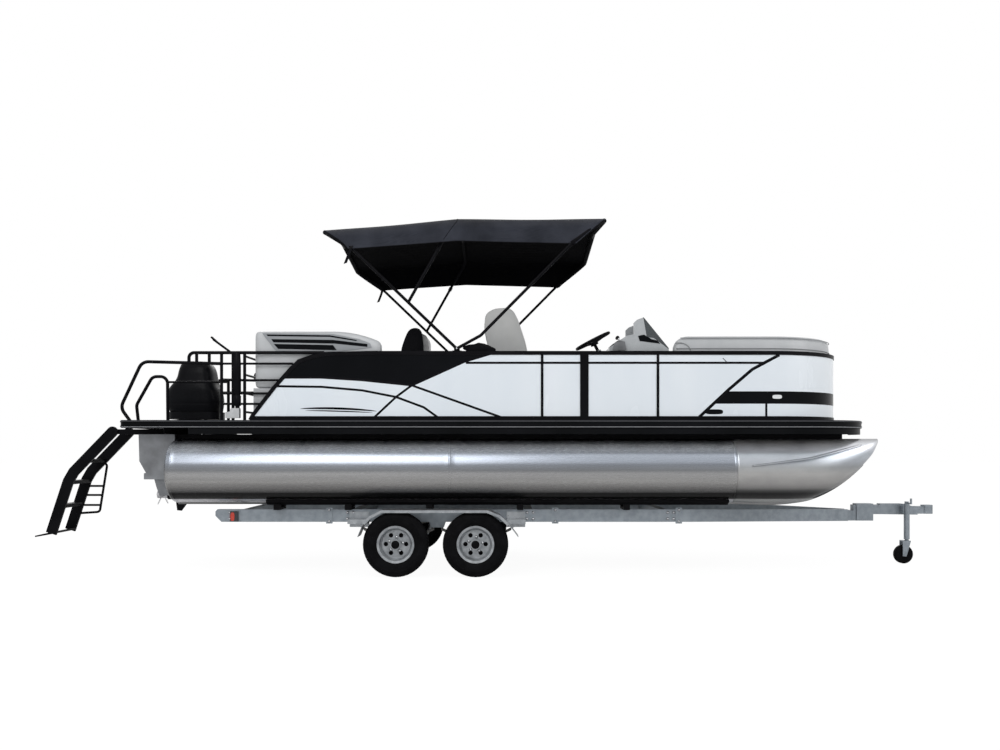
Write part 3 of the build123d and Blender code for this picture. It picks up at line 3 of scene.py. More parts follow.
import bpy
import numpy as np
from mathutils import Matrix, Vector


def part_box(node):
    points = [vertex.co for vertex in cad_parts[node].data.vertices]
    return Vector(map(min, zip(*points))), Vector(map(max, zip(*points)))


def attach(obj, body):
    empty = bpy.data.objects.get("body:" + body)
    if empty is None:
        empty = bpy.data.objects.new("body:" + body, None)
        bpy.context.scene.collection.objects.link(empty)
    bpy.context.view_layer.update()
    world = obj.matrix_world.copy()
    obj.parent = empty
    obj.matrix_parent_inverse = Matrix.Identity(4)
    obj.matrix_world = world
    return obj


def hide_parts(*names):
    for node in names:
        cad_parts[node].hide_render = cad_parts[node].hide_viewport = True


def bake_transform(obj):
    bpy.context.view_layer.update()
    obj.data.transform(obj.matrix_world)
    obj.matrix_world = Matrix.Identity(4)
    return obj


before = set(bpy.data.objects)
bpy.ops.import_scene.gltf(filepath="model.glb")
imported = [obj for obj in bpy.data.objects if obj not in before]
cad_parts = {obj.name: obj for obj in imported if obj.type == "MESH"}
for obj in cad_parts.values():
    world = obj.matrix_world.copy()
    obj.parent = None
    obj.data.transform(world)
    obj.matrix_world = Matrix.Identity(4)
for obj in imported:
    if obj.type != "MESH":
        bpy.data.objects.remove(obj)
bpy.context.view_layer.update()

# Camera: level with the deck, square to the starboard side and about ten metres away, as in the
# photograph. Its small upward shift keeps the posts upright.
camera_data = bpy.data.cameras.new("camera")
camera_data.lens = 33.95
camera_data.sensor_width = 36
camera_data.shift_y = 0.071
camera = bpy.data.objects.new("camera", camera_data)
camera.location = (0, -10.345, 1.27)
camera.rotation_euler = (math.radians(90), 0, 0)
bpy.context.scene.collection.objects.link(camera)
bpy.context.scene.camera = camera
bpy.context.scene.view_settings.view_transform = "Standard"


# Studio: a pale floor under an even white sky, one wide lamp above the camera and a weaker one from
# each end, as a large shed with soft boxes would light a boat.
def add_node(nodes, kind, values=(), **settings):
    """A new shader node with its settings, and default values for its inputs."""
    made = nodes.new("ShaderNode" + kind)
    for key, value in settings.items():
        setattr(made, key, value)
    for socket, value in dict(values).items():
        made.inputs[socket].default_value = value
    return made


def wire(links, *joins):
    """Joins shader sockets. Each join is (node, output, node, input)."""
    for start, output, end, socket in joins:
        links.new(start.outputs[output], end.inputs[socket])


def soft_lamp(name, place, aim, size, watts):
    """A square lamp at place that faces aim."""
    data = bpy.data.lights.new(name, "AREA")
    data.size = size
    data.energy = watts
    lamp = bpy.data.objects.new(name, data)
    lamp.location = place
    away = np.array(place, float) - np.array(aim, float)
    yaw = math.atan2(away[1], away[0]) + math.pi / 2
    pitch = math.atan2(math.hypot(away[0], away[1]), away[2])
    lamp.rotation_euler = (pitch, 0, yaw)
    bpy.context.scene.collection.objects.link(lamp)


SIDES = ((-1, "starboard"), (1, "port"))
soft_lamp("key_lamp", (-3, -9, 8), (0, 0, 1.5), 6, 420)
soft_lamp("bow_lamp", (9, -5, 5), (1, 0, 1.5), 4, 150)
soft_lamp("far_lamp", (-4, 9, 7), (0, 0, 1.5), 6, 300)

sky = bpy.data.worlds.new("sky")
sky.use_nodes = True
bpy.context.scene.world = sky
sky_nodes, sky_links = sky.node_tree.nodes, sky.node_tree.links
sky_light = sky_nodes["Background"]
sky_light.inputs["Color"].default_value = (1, 1, 1, 1)
sky_rays = add_node(sky_nodes, "LightPath")
seen = add_node(sky_nodes, "Math", operation="MAXIMUM")
seen_through = add_node(sky_nodes, "Math", operation="MAXIMUM")
sky_level = add_node(sky_nodes, "MapRange", {"To Min": 0.55, "To Max": 1.0})
wire(
    sky_links, (sky_rays, "Is Camera Ray", seen, 0), (sky_rays, "Is Glossy Ray", seen, 1),
    (seen, 0, seen_through, 0), (sky_rays, "Is Transmission Ray", seen_through, 1),
    (seen_through, 0, sky_level, "Value"), (sky_level, 0, sky_light, "Strength"),
)

floor_mesh = bpy.data.meshes.new("floor")
floor_mesh.from_pydata([(-60, -60, 0), (60, -60, 0), (60, 60, 0), (-60, 60, 0)], [], [(0, 1, 2, 3)])
floor = bpy.data.objects.new("floor", floor_mesh)
bpy.context.scene.collection.objects.link(floor)
floor_paint = bpy.data.materials.new("floor_paint")
floor_paint.use_nodes = True
floor_nodes, floor_links = floor_paint.node_tree.nodes, floor_paint.node_tree.links
floor_shader = floor_nodes["Principled BSDF"]
floor_shader.inputs["Base Color"].default_value = (0.86, 0.86, 0.86, 1)
floor_shader.inputs["Roughness"].default_value = 0.9
floor_glow = add_node(floor_nodes, "Emission", {"Strength": 1.06})
floor_rays = add_node(floor_nodes, "LightPath")
floor_share = add_node(floor_nodes, "Math", {1: 0.9}, operation="MULTIPLY")
floor_mix = add_node(floor_nodes, "MixShader")
wire(
    floor_links, (floor_rays, "Is Camera Ray", floor_share, 0), (floor_share, 0, floor_mix, "Fac"),
    (floor_shader, 0, floor_mix, 1), (floor_glow, 0, floor_mix, 2),
    (floor_mix, 0, floor_nodes["Material Output"], "Surface"),
)
floor_mesh.materials.append(floor_paint)


# Hull tubes: two rolled tubes of marine aluminium with a dished end, welded rings, a pressed nose that
# sweeps up to a point, a keel strip below and a lifting strake along the outside of each nose.
def group_sockets(name, inputs, outputs):
    """A new shader group with its sockets, and its input and output nodes."""
    group = bpy.data.node_groups.new(name, "ShaderNodeTree")
    for label, kind, value in inputs:
        socket = group.interface.new_socket(label, in_out="INPUT", socket_type="NodeSocket" + kind)
        socket.default_value = value
    for label, kind in outputs:
        group.interface.new_socket(label, in_out="OUTPUT", socket_type="NodeSocket" + kind)
    return group, group.nodes.new("NodeGroupInput"), group.nodes.new("NodeGroupOutput")


def cloud_group():
    """Soft noise, stretched by a vector: a mask of broad patches, a height of fine grain."""
    group, taken, given = group_sockets(
        "clouds",
        [("Stretch", "Vector", (1, 1, 1)), ("Patch Scale", "Float", 3), ("Grain Scale", "Float", 200)],
        [("Patches", "Float"), ("Grain", "Float")],
    )
    place = add_node(group.nodes, "TexCoord")
    stretched = add_node(group.nodes, "VectorMath", operation="MULTIPLY")
    patches = add_node(group.nodes, "TexNoise", {"Detail": 4})
    grain = add_node(group.nodes, "TexNoise", {"Detail": 3})
    sharpen = add_node(group.nodes, "MapRange", {"From Min": 0.32, "From Max": 0.68})
    wire(
        group.links, (place, "Object", stretched, 0), (taken, "Stretch", stretched, 1),
        (stretched, 0, patches, "Vector"), (stretched, 0, grain, "Vector"),
        (taken, "Patch Scale", patches, "Scale"), (taken, "Grain Scale", grain, "Scale"),
        (patches, "Fac", sharpen, "Value"), (sharpen, 0, given, "Patches"), (grain, "Fac", given, "Grain"),
    )
    return group


clouds = cloud_group()


def dust_group():
    """Dust that settles on faces that look up, broken by noise, laid over a colour."""
    group, taken, given = group_sockets(
        "dust",
        [("Color", "Color", (0.5, 0.5, 0.5, 1)), ("Dust", "Color", (0.45, 0.42, 0.38, 1)),
         ("Amount", "Float", 0.2)],
        [("Color", "Color"), ("Mask", "Float")],
    )
    facing = add_node(group.nodes, "NewGeometry")
    split = add_node(group.nodes, "SeparateXYZ")
    up = add_node(group.nodes, "MapRange", {"From Min": 0.35})
    place = add_node(group.nodes, "TexCoord")
    noise = add_node(group.nodes, "TexNoise", {"Scale": 7, "Detail": 6})
    broken = add_node(group.nodes, "Math", operation="MULTIPLY")
    amount = add_node(group.nodes, "Math", operation="MULTIPLY")
    mix = add_node(group.nodes, "Mix", data_type="RGBA")
    wire(
        group.links, (facing, "Normal", split, 0), (split, "Z", up, "Value"),
        (place, "Object", noise, "Vector"), (up, 0, broken, 0), (noise, "Fac", broken, 1),
        (broken, 0, amount, 0), (taken, "Amount", amount, 1), (amount, 0, mix, "Factor"),
        (taken, "Color", mix, "A"), (taken, "Dust", mix, "B"), (mix, "Result", given, "Color"),
        (amount, 0, given, "Mask"),
    )
    return group


dust = dust_group()


def finish(
    name, light, dark, rough, metal=0, stretch=(1, 1, 1), patch=3, grain=200, bump=0.05, dusty=0.15,
    swing=0.08, **plain
):
    """A material whose colour drifts between light and dark in patches. Grain breaks its bump and gloss."""
    paint = bpy.data.materials.new(name)
    paint.use_nodes = True
    nodes = paint.node_tree.nodes
    shader = nodes["Principled BSDF"]
    shader.inputs["Metallic"].default_value = metal
    for socket, value in plain.items():
        shader.inputs[socket.replace("_", " ")].default_value = value
    pattern = add_node(
        nodes, "Group", {"Stretch": stretch, "Patch Scale": patch, "Grain Scale": grain}, node_tree=clouds
    )
    colour = add_node(nodes, "Mix", {"A": (*dark, 1), "B": (*light, 1)}, data_type="RGBA")
    settled = add_node(nodes, "Group", {"Amount": dusty}, node_tree=dust)
    gloss = add_node(nodes, "MapRange", {"To Min": max(rough - swing, 0.02), "To Max": min(rough + swing, 1)})
    relief = add_node(nodes, "Bump", {"Strength": bump, "Distance": 0.002})
    wire(
        paint.node_tree.links, (pattern, "Patches", colour, "Factor"), (colour, "Result", settled, "Color"),
        (settled, "Color", shader, "Base Color"), (pattern, "Grain", gloss, "Value"),
        (gloss, 0, shader, "Roughness"), (pattern, "Grain", relief, "Height"), (relief, 0, shader, "Normal"),
    )
    return paint


DULL = {"Specular_IOR_Level": 0.045}  # the low shine that black parts share


def by_height(paint, stops, blend="MULTIPLY", crisp=False):
    """Shades a finish by the height of each point: stops are (metres above the floor, colour)."""
    nodes, links = paint.node_tree.nodes, paint.node_tree.links
    shader = nodes["Principled BSDF"]
    below = shader.inputs["Base Color"].links[0].from_socket
    low, high = stops[0][0], stops[-1][0]
    place = add_node(nodes, "TexCoord")
    split = add_node(nodes, "SeparateXYZ")
    share = add_node(nodes, "MapRange", {"From Min": low, "From Max": high})
    ramp = add_node(nodes, "ValToRGB")
    ramp.color_ramp.interpolation = "CONSTANT" if crisp else "LINEAR"
    elements = ramp.color_ramp.elements
    elements[1].position = 1
    for height, _ in stops[1:-1]:
        elements.new((height - low) / (high - low))
    for element, (_, colour) in zip(elements, stops):
        element.color = (*colour, 1)
    mix = add_node(nodes, "Mix", {"Factor": 1}, data_type="RGBA", blend_type=blend)
    links.new(below, mix.inputs["A"])
    wire(
        links, (place, "Object", split, 0), (split, "Z", share, "Value"), (share, 0, ramp, "Fac"),
        (ramp, "Color", mix, "B"), (mix, "Result", shader, "Base Color"),
    )
    return paint


def dress(paint, *nodes):
    """Gives CAD nodes their finished material."""
    for node in nodes:
        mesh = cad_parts[node].data
        mesh.materials.clear()
        mesh.materials.append(paint)


def skin(name, grid, paint, body="root", wrap=True, caps=True):
    """A mesh over a grid of points (rows, columns, xyz). Columns wrap round if wrap, caps shut both ends."""
    grid = np.asarray(grid, float)
    rows, columns = grid.shape[:2]
    index = np.arange(rows * columns).reshape(rows, columns)
    turns = np.roll(index, -1, axis=1) if wrap else index[:, 1:]
    left = index if wrap else index[:, :-1]
    quads = np.stack([left[:-1], turns[:-1], turns[1:], left[1:]], -1).reshape(-1, 4)
    points = grid.reshape(-1, 3)
    faces = quads.tolist()
    if caps and wrap:
        points = np.vstack([points, grid[0].mean(0), grid[-1].mean(0)])
        first, last = rows * columns, rows * columns + 1
        faces += [(first, b, a) for a, b in zip(index[0], turns[0])]
        faces += [(last, a, b) for a, b in zip(index[-1], turns[-1])]
    return solid_mesh(name, points, faces, paint, body)


def solid_mesh(name, points, faces, paint, body="root", smooth=True):
    """An object from points and faces, with outward normals, its material and its body."""
    mesh = bpy.data.meshes.new(name)
    mesh.from_pydata(np.asarray(points).tolist(), [], [tuple(int(i) for i in face) for face in faces])
    face_out(mesh)
    mesh.polygons.foreach_set("use_smooth", np.full(len(mesh.polygons), smooth))
    mesh.materials.append(paint)
    piece = bpy.data.objects.new(name, mesh)
    bpy.context.scene.collection.objects.link(piece)
    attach(piece, body)
    return piece


def face_out(mesh):
    """Turns the faces of a closed mesh outwards, by the sign of its volume."""
    mesh.calc_loop_triangles()
    corners = np.zeros(len(mesh.vertices) * 3)
    mesh.vertices.foreach_get("co", corners)
    corners = corners.reshape(-1, 3)
    triangles = np.zeros(len(mesh.loop_triangles) * 3, np.int32)
    mesh.loop_triangles.foreach_get("vertices", triangles)
    a, b, c = (corners[triangles[i::3]] for i in range(3))
    if np.einsum("ij,ij->i", a, np.cross(b, c)).sum() < 0:
        mesh.flip_normals()
    mesh.update()


def circle(count):
    """Angles evenly round a full turn."""
    return np.linspace(0, 2 * np.pi, count, endpoint=False)


def squared(angle, power):
    """The cosine and sine of an angle, drawn out towards a square: the two parts of a superellipse."""
    return [np.sign(wave) * np.abs(wave) ** power for wave in (np.cos(angle), np.sin(angle))]


def run_along(path):
    """The length along a path at each of its points."""
    return np.concatenate([[0], np.cumsum(np.linalg.norm(np.diff(path, axis=0), axis=1))])


def round_off(to_end, reach):
    """The share of full size near an end: a quarter circle over reach."""
    return np.sqrt(np.clip(1 - (1 - np.clip(to_end / reach, 0, 1)) ** 2, 0.0004, 1))


def through(at, knots, values):
    """A smooth curve through values at knots: cubic Hermite with the mean of the neighbouring slopes."""
    at, knots, values = (np.asarray(v, float) for v in (at, knots, values))
    slopes = np.gradient(values, knots)
    k = np.clip(np.searchsorted(knots, at) - 1, 0, len(knots) - 2)
    step = knots[k + 1] - knots[k]
    t = (at - knots[k]) / step
    return (
        (2 * t**3 - 3 * t**2 + 1) * values[k]
        + (t**3 - 2 * t**2 + t) * step * slopes[k]
        + (3 * t**2 - 2 * t**3) * values[k + 1]
        + (t**3 - t**2) * step * slopes[k + 1]
    )


tube_metal = finish(
    "tube_aluminium", (0.86, 0.86, 0.87), (0.74, 0.74, 0.755), 0.26, metal=0.62, stretch=(0.25, 9, 9),
    patch=3, grain=60, bump=0.03, dusty=0.03,
)
# Painted reflections and shade by height. The light line at the very bottom, the near-black band above it and
# the brownish greys over the lower half stand in for the reflected trailer, its shadow and the ground. The
# bright blue-white band under the top stands in for the reflected sky, and the dark top edge is painted shade
# under the deck.
by_height(tube_metal, [
    (0.700, (0.80, 0.80, 0.82)), (0.742, (0.85, 0.85, 0.88)), (0.752, (0.010, 0.010, 0.010)),
    (0.808, (0.004, 0.004, 0.004)), (0.822, (0.10, 0.10, 0.10)), (0.86, (0.25, 0.245, 0.24)),
    (0.92, (0.44, 0.435, 0.42)), (1.005, (0.42, 0.42, 0.42)), (1.035, (0.24, 0.25, 0.26)),
    (1.09, (0.24, 0.26, 0.29)), (1.12, (0.42, 0.46, 0.52)), (1.19, (0.50, 0.55, 0.62)),
    (1.225, (0.86, 0.92, 1.0)), (1.275, (0.90, 0.95, 1.0)), (1.30, (0.45, 0.48, 0.52)),
    (1.325, (0.06, 0.06, 0.07)),
])
nose_metal = finish(
    "nose_aluminium", (0.88, 0.88, 0.885), (0.76, 0.76, 0.77), 0.3, metal=0.62, stretch=(1, 1, 2), patch=4,
    grain=150, bump=0.03, dusty=0.03,
)
# Painted reflections and shade by height, as on the barrel: reflected trailer, shadow and ground below,
# reflected sky under the top, and a darker top edge as painted shade under the deck. The keel strips and
# strakes carry them too.
by_height(nose_metal, [
    (0.700, (0.33, 0.33, 0.33)), (0.742, (0.50, 0.51, 0.51)), (0.755, (0.03, 0.03, 0.03)),
    (0.805, (0.012, 0.012, 0.013)), (0.835, (0.09, 0.09, 0.09)), (0.865, (0.30, 0.295, 0.29)),
    (0.91, (0.44, 0.43, 0.42)), (1.0, (0.52, 0.515, 0.505)), (1.065, (0.42, 0.435, 0.445)),
    (1.11, (0.52, 0.55, 0.59)), (1.19, (0.60, 0.65, 0.70)), (1.235, (0.85, 0.88, 0.94)),
    (1.29, (0.88, 0.90, 0.93)), (1.345, (0.40, 0.40, 0.41)),
])
TUBE_R, TUBE_Y, TUBE_Z = 0.3175, 0.915, 1.025
TUBE_BACK, DISH, NOSE_BACK, NOSE_TIP = -3.215, 0.088, 2.3, 3.775
NOSE_X = np.array([2.3, 2.9, 3.09, 3.21, 3.39, 3.515, 3.636, 3.72, 3.775])
NOSE_LOW = np.array([0.7075, 0.712, 0.745, 0.79, 0.89, 0.985, 1.1, 1.2, 1.305])


def tube_bottom(x):
    """The height of the tube's lowest line at x: level, then the curve through the nose's stations."""
    return np.where(x < NOSE_BACK, TUBE_Z - TUBE_R, through(np.maximum(x, NOSE_BACK), NOSE_X, NOSE_LOW))


def tube_surface(x, radius, side):
    """Rings at x: circles that hang from the level top line, so the centre is top minus radius."""
    angle = circle(96)
    top = TUBE_Z + TUBE_R
    half = (top - tube_bottom(x)) / 2
    centre = np.where(x < NOSE_BACK, TUBE_Z, top - half)
    y = side * TUBE_Y + radius[:, None] * np.sin(angle)
    z = centre[:, None] + radius[:, None] * np.cos(angle)
    return np.stack([np.broadcast_to(x[:, None], y.shape), y, z], -1)


def ring_lift(x):
    """How far the weld rings stand out at x, with soft shoulders."""
    centres = np.array([TUBE_BACK + 0.014, -0.488, 2.288])
    return 0.004 * np.clip(1.5 - np.abs(x[:, None] - centres).min(1) / 0.008, 0, 1)


for side, which in SIDES:
    dish = np.sin(np.linspace(0.03, np.pi / 2, 18))
    barrel_x = np.unique(
        np.concatenate([np.linspace(TUBE_BACK, NOSE_BACK, 90)]
                       + [c + np.linspace(-0.014, 0.014, 9) for c in (TUBE_BACK + 0.014, -0.488, 2.286)])
    )
    barrel_x = barrel_x[barrel_x >= TUBE_BACK]
    x = np.concatenate([TUBE_BACK - DISH * np.sqrt(1 - dish[:-1] ** 2.4), barrel_x])
    radius = np.concatenate([TUBE_R * dish[:-1], np.full(len(barrel_x), TUBE_R)])
    radius[len(dish) - 1:] += ring_lift(barrel_x)
    piece = skin(f"tube_barrel_{which}", tube_surface(x, radius, side), tube_metal)
    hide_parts(f"tube_{which}")
    x = np.concatenate([np.linspace(NOSE_BACK, 3.70, 60), np.linspace(3.705, NOSE_TIP, 12)])
    radius = (TUBE_Z + TUBE_R - tube_bottom(x)) / 2
    radius[-1] *= 0.5
    skin(f"tube_nose_{which}", tube_surface(x, radius, side), nose_metal)

    keel_x = np.concatenate([[TUBE_BACK, 0], np.linspace(2.3, 3.63, 30)])
    low = tube_bottom(keel_x)
    outline = [(-0.012, 0.03), (-0.004, -0.004), (-0.004, -0.018), (0.004, -0.018), (0.004, -0.004),
               (0.012, 0.03)]
    keel = np.array([[(x, side * TUBE_Y + y, z + h) for y, h in outline] for x, z in zip(keel_x, low)])
    skin(f"keel_{which}", keel, nose_metal)

    strake_x = np.linspace(2.44, 3.56, 40)
    strake_z = np.interp(strake_x, [2.44, 3.0, 3.56], [1.077, 1.15, 1.28])
    half = (TUBE_Z + TUBE_R - tube_bottom(strake_x)) / 2
    centre = TUBE_Z + TUBE_R - half
    reach = np.sqrt(np.maximum(half**2 - (strake_z - centre) ** 2, 0))
    out = 0.05 * np.sin(np.pi * np.clip((strake_x - 2.42) / 1.3, 0, 1)) ** 0.5
    inner, outer = side * (TUBE_Y + reach - 0.02), side * (TUBE_Y + reach + out)
    edges = ((inner, -0.02), (outer, -0.003), (outer, 0.003), (inner, 0.012))
    strake = np.stack([np.stack([strake_x, y, strake_z + h], -1) for y, h in edges], 1)
    skin(f"strake_{which}", strake, nose_metal)

# Deck: plywood covered in woven vinyl inside a black anodised edge extrusion, with painted highlights along
# the tops of its two ribs. Near-black cross channels and long risers carry it on the tubes; their black is
# partly their finish, partly painted shade.
# Near black: partly the channels' and risers' own finish, partly painted shade in the space under the deck.
channel_paint_and_shade = finish("channel_black_and_shade", (0.006, 0.006, 0.007), (0.003, 0.003, 0.0035), 0.6, dusty=0.03,
                       **DULL)
dress(channel_paint_and_shade, "under_deck_frame")


def weave_group():
    """Crossed threads: two sine waves at right angles multiplied, put out as a mask and a height."""
    group, taken, given = group_sockets("weave", [("Threads", "Float", 300)],
                                        [("Mask", "Float"), ("Height", "Float")])
    place = add_node(group.nodes, "TexCoord")
    thread_height = add_node(group.nodes, "Math", operation="MULTIPLY")
    tone = add_node(group.nodes, "Math", operation="MAXIMUM")
    for number, axis in enumerate(("X", "Y")):
        wave = add_node(group.nodes, "TexWave", {"Distortion": 0.6, "Detail Scale": 2}, bands_direction=axis)
        wire(
            group.links, (place, "Object", wave, "Vector"), (taken, "Threads", wave, "Scale"),
            (wave, "Fac", thread_height, number), (wave, "Fac", tone, number),
        )
    wire(group.links, (tone, 0, given, "Mask"), (thread_height, 0, given, "Height"))
    return group


weave = weave_group()


def woven(name, light, dark, threads, rough, bump=0.4, **plain):
    """A cloth or woven sheet: thread tone from the weave, broad fading from the clouds."""
    paint = finish(name, light, dark, rough, bump=bump, dusty=0.08, **plain)
    nodes = paint.node_tree.nodes
    crossed = add_node(nodes, "Group", {"Threads": threads}, node_tree=weave)
    tone = add_node(nodes, "Mix", {"Factor": 0.35}, data_type="RGBA", blend_type="MULTIPLY")
    dusted = next(n for n in nodes if n.type == "GROUP" and n.node_tree == dust)
    relief = next(n for n in nodes if n.type == "BUMP")
    wire(
        paint.node_tree.links, (dusted, "Color", tone, "A"), (crossed, "Mask", tone, "B"),
        (tone, "Result", nodes["Principled BSDF"], "Base Color"), (crossed, "Height", relief, "Height"),
    )
    return paint


dress(woven("deck_weave", (0.44, 0.42, 0.40), (0.30, 0.29, 0.28), 60, 0.8), "deck_board")
edge_paint_and_highlights = finish(
    "edge_black", (0.006, 0.0065, 0.008), (0.003, 0.0035, 0.004), 0.34, dusty=0.02, patch=2, **DULL
)
# Painted highlights: thin grey bands along the tops of the two ribs, added to the black by height.
by_height(edge_paint_and_highlights, [
    (1.38, (0, 0, 0)), (1.450, (0.34, 0.35, 0.37)), (1.456, (0, 0, 0)), (1.5065, (0.10, 0.102, 0.11)),
    (1.5125, (0.015, 0.015, 0.018)), (1.53, (0, 0, 0)),
], "ADD", crisp=True)
dress(edge_paint_and_highlights, "deck_edge")

# Stern brackets, motor pod and clamp: welded and cast aluminium behind the tubes, which carry the
# platform, the transom and the outboard.
cast_grey = finish(
    "cast_grey", (0.25, 0.26, 0.275), (0.15, 0.155, 0.165), 0.42, metal=0.7, patch=6, grain=120, bump=0.12,
    dusty=0.08
)
dress(cast_grey, "stern_brackets", "motor_pod")
engine_paint = finish(
    "engine_black", (0.006, 0.0065, 0.008), (0.003, 0.003, 0.004), 0.32, patch=1.5, grain=400, bump=0.02,
    dusty=0.015, **DULL, Coat_Weight=0.02, Coat_Roughness=0.12,
)
dress(engine_paint, "outboard_clamp", "outboard_swivel", "outboard_leg")


# Outboard cowl: a glossy moulded cover, parted round its waist. It sits on the pan.
def cowl_surface(rows=60, columns=96):
    """Level rings from the waist up: superellipses whose length, width and centre follow the side profile."""
    z = np.concatenate([np.linspace(1.6405, 2.13, rows - 14),
                        2.13 + 0.068 * np.sin(np.linspace(0.1, np.pi / 2, 14))])
    levels = [1.64, 1.70, 1.76, 1.83, 1.88, 1.93, 1.97, 2.02, 2.08, 2.13, 2.165, 2.185, 2.198]
    front = through(z, levels, [
        -3.064, -3.054, -3.049, -3.058, -3.070, -3.092, -3.106, -3.118, -3.128, -3.145, -3.168, -3.20, -3.27])
    back = through(z, levels, [
        -3.586, -3.618, -3.622, -3.620, -3.603, -3.571, -3.535, -3.508, -3.494, -3.480, -3.462, -3.43, -3.37])
    wide = through(z, levels, [
        0.205, 0.216, 0.222, 0.222, 0.220, 0.213, 0.206, 0.200, 0.192, 0.176, 0.150, 0.11, 0.04])
    along, across = squared(circle(columns), 0.55)
    x = ((front + back) / 2)[:, None] + ((front - back) / 2)[:, None] * along
    parting = np.exp(-(((z - 1.73) / 0.005) ** 2)) + np.exp(-(((z - 1.945) / 0.004) ** 2))
    groove = 1 - 0.016 * parting[:, None]
    y = wide[:, None] * across * groove
    return np.stack([x, y, np.broadcast_to(z[:, None], x.shape)], -1)


cowl_piece = skin("cowl_shell", cowl_surface(), engine_paint, "engine")
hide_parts("outboard_cowl")
trim_silver = finish("trim_silver", (0.55, 0.56, 0.58), (0.42, 0.43, 0.45), 0.25, metal=1, dusty=0.05)
propeller_steel = finish(
    "propeller_steel", (0.6, 0.6, 0.62), (0.45, 0.45, 0.47), 0.18, metal=1, grain=300, bump=0.02
)
dress(propeller_steel, "propeller")

# Fence: black powder-coated rails and posts round the deck, with thin painted aluminium sheets between
# them, pale blue-white, and gloss black at the stern shoulder and in a band round the bow.
rail_paint = finish(
    "rail_black", (0.006, 0.006, 0.0075), (0.003, 0.003, 0.004), 0.36, patch=4, grain=500, bump=0.06,
    dusty=0.015, **DULL,
)
panel_white = finish(
    "panel_white", (0.78, 0.83, 0.88), (0.72, 0.78, 0.84), 0.25, stretch=(1, 1, 0.25), patch=1.6, grain=4,
    bump=0.03, dusty=0.0, Coat_Weight=0.3, Coat_Roughness=0.08,
)
panel_black = finish(
    "panel_black", (0.0045, 0.005, 0.0065), (0.0025, 0.003, 0.004), 0.22, patch=2, grain=6, bump=0.02,
    dusty=0.01, **DULL, Coat_Weight=0.0, Coat_Roughness=0.08,
)
dress(
    rail_paint, "fence_frames", "bow_gate_frame", "port_gate_frame", "stern_gate", "stern_rails",
    "ladder_arms", "ladder",
)
dress(panel_white, "fence_panels_white", "bow_gate_panel", "port_gate_panel")
dress(panel_black, "fence_panels_black")


def prism(name, outline, out_y, in_y, paint, body="root", bevel=0.0):
    """A flat plate with a side outline of (x, z) points, between two lateral planes."""
    count = len(outline)
    points = [(x, out_y, z) for x, z in outline] + [(x, in_y, z) for x, z in outline]
    faces = [tuple(range(count)), tuple(range(2 * count - 1, count - 1, -1))]
    faces += [(i, (i + 1) % count, count + (i + 1) % count, count + i) for i in range(count)]
    piece = solid_mesh(name, points, faces, paint, body, smooth=False)
    if bevel:
        soft = piece.modifiers.new("soft", "BEVEL")
        soft.width = bevel
        soft.segments = 2
    return piece


def pill(x, z, half_long, half_tall, count=24, power=0.6):
    """A rounded slot outline about (x, z): a superellipse."""
    u, v = squared(circle(count), power)
    return list(zip(x + half_long * u, z + half_tall * v))


lamp_clear = finish("lamp_clear", (0.80, 0.82, 0.83), (0.66, 0.68, 0.70), 0.12, grain=60, bump=0.2, dusty=0,
                    Coat_Weight=0.5)
base_grey = finish("bracket_grey", (0.55, 0.56, 0.57), (0.42, 0.43, 0.44), 0.45, patch=14, grain=200,
                   bump=0.1, dusty=0.1)
SKIN_Y = 1.2415
for side, which in SIDES:
    for what, outline, proud, paint, slot, bevel in (
        ("docking_light", pill(2.676, 1.745, 0.044, 0.017), 0.001, lamp_clear, "panel_white", 0.002),
        ("docking_bezel", pill(2.676, 1.745, 0.052, 0.024), -0.0015, rail_paint, "rail_black", 0.002),
        ("courtesy_vent", pill(2.068, 1.600, 0.083, 0.021), 0, panel_black, "panel_black", 0.003),
    ):
        prism(
            f"{what}_{which}", outline, side * (SKIN_Y + proud), side * (SKIN_Y - 0.012), paint,
            bevel=bevel,
        )
    run = np.linspace(0, 1, 24)
    for number, (x_a, x_b, z_a, z_b, bow, thick) in enumerate((
        (-1.928, -1.190, 1.630, 1.606, 0.014, 0.011), (-1.880, -1.230, 1.612, 1.592, 0.004, 0.006),
    )):
        x = x_a + (x_b - x_a) * run
        middle = z_a + (z_b - z_a) * run + bow * np.sin(np.pi * run) ** 0.8
        half = thick * np.sin(np.pi * np.clip(run, 0.004, 0.996)) ** 0.5
        outline = list(zip(x, middle + half)) + list(zip(x[::-1], (middle - half)[::-1]))
        prism(f"stripe_{which}_{number + 1}", outline, side * (SKIN_Y - 0.0012), side * (SKIN_Y - 0.004),
              panel_black)

# Lounges: rotomoulded grey bases with foam cushions in pale vinyl. Each cushion is sewn from a top, a
# bottom and a border, so its sides pull in between the piped edges.
base_plastic = finish(
    "base_plastic", (0.46, 0.475, 0.49), (0.38, 0.39, 0.405), 0.5, patch=5, grain=260, bump=0.12, dusty=0.15
)
dress(base_plastic, "lounge_bases")
cushion_vinyl = finish(
    "cushion_vinyl", (0.50, 0.515, 0.53), (0.43, 0.445, 0.46), 0.42, patch=4, grain=420, bump=0.25,
    dusty=0.05, Coat_Weight=0.1,
)
FENCE_Y, FENCE_FRONT, CORNER_R = 1.23, 3.46, 0.85


def lounge_path(side, inset, start, end, count=60):
    """Points and inward directions along the fence line, drawn in by inset, from one run length to another.

    Run length is counted on the fence line itself: straight along the side to the corner's centre, then
    round the corner, so pieces of one lounge at different insets share their end lines."""
    run = np.linspace(start, end, count)
    corner_x = FENCE_FRONT - CORNER_R
    turn = np.clip((run - corner_x) / CORNER_R, 0, np.pi / 2)
    x = np.where(run < corner_x, run, corner_x + (CORNER_R - inset) * np.sin(turn))
    y = FENCE_Y - CORNER_R + (CORNER_R - inset) * np.cos(turn)
    inward = np.stack([-np.sin(turn), -side * np.cos(turn)], -1)
    return np.stack([x, side * y], -1), inward


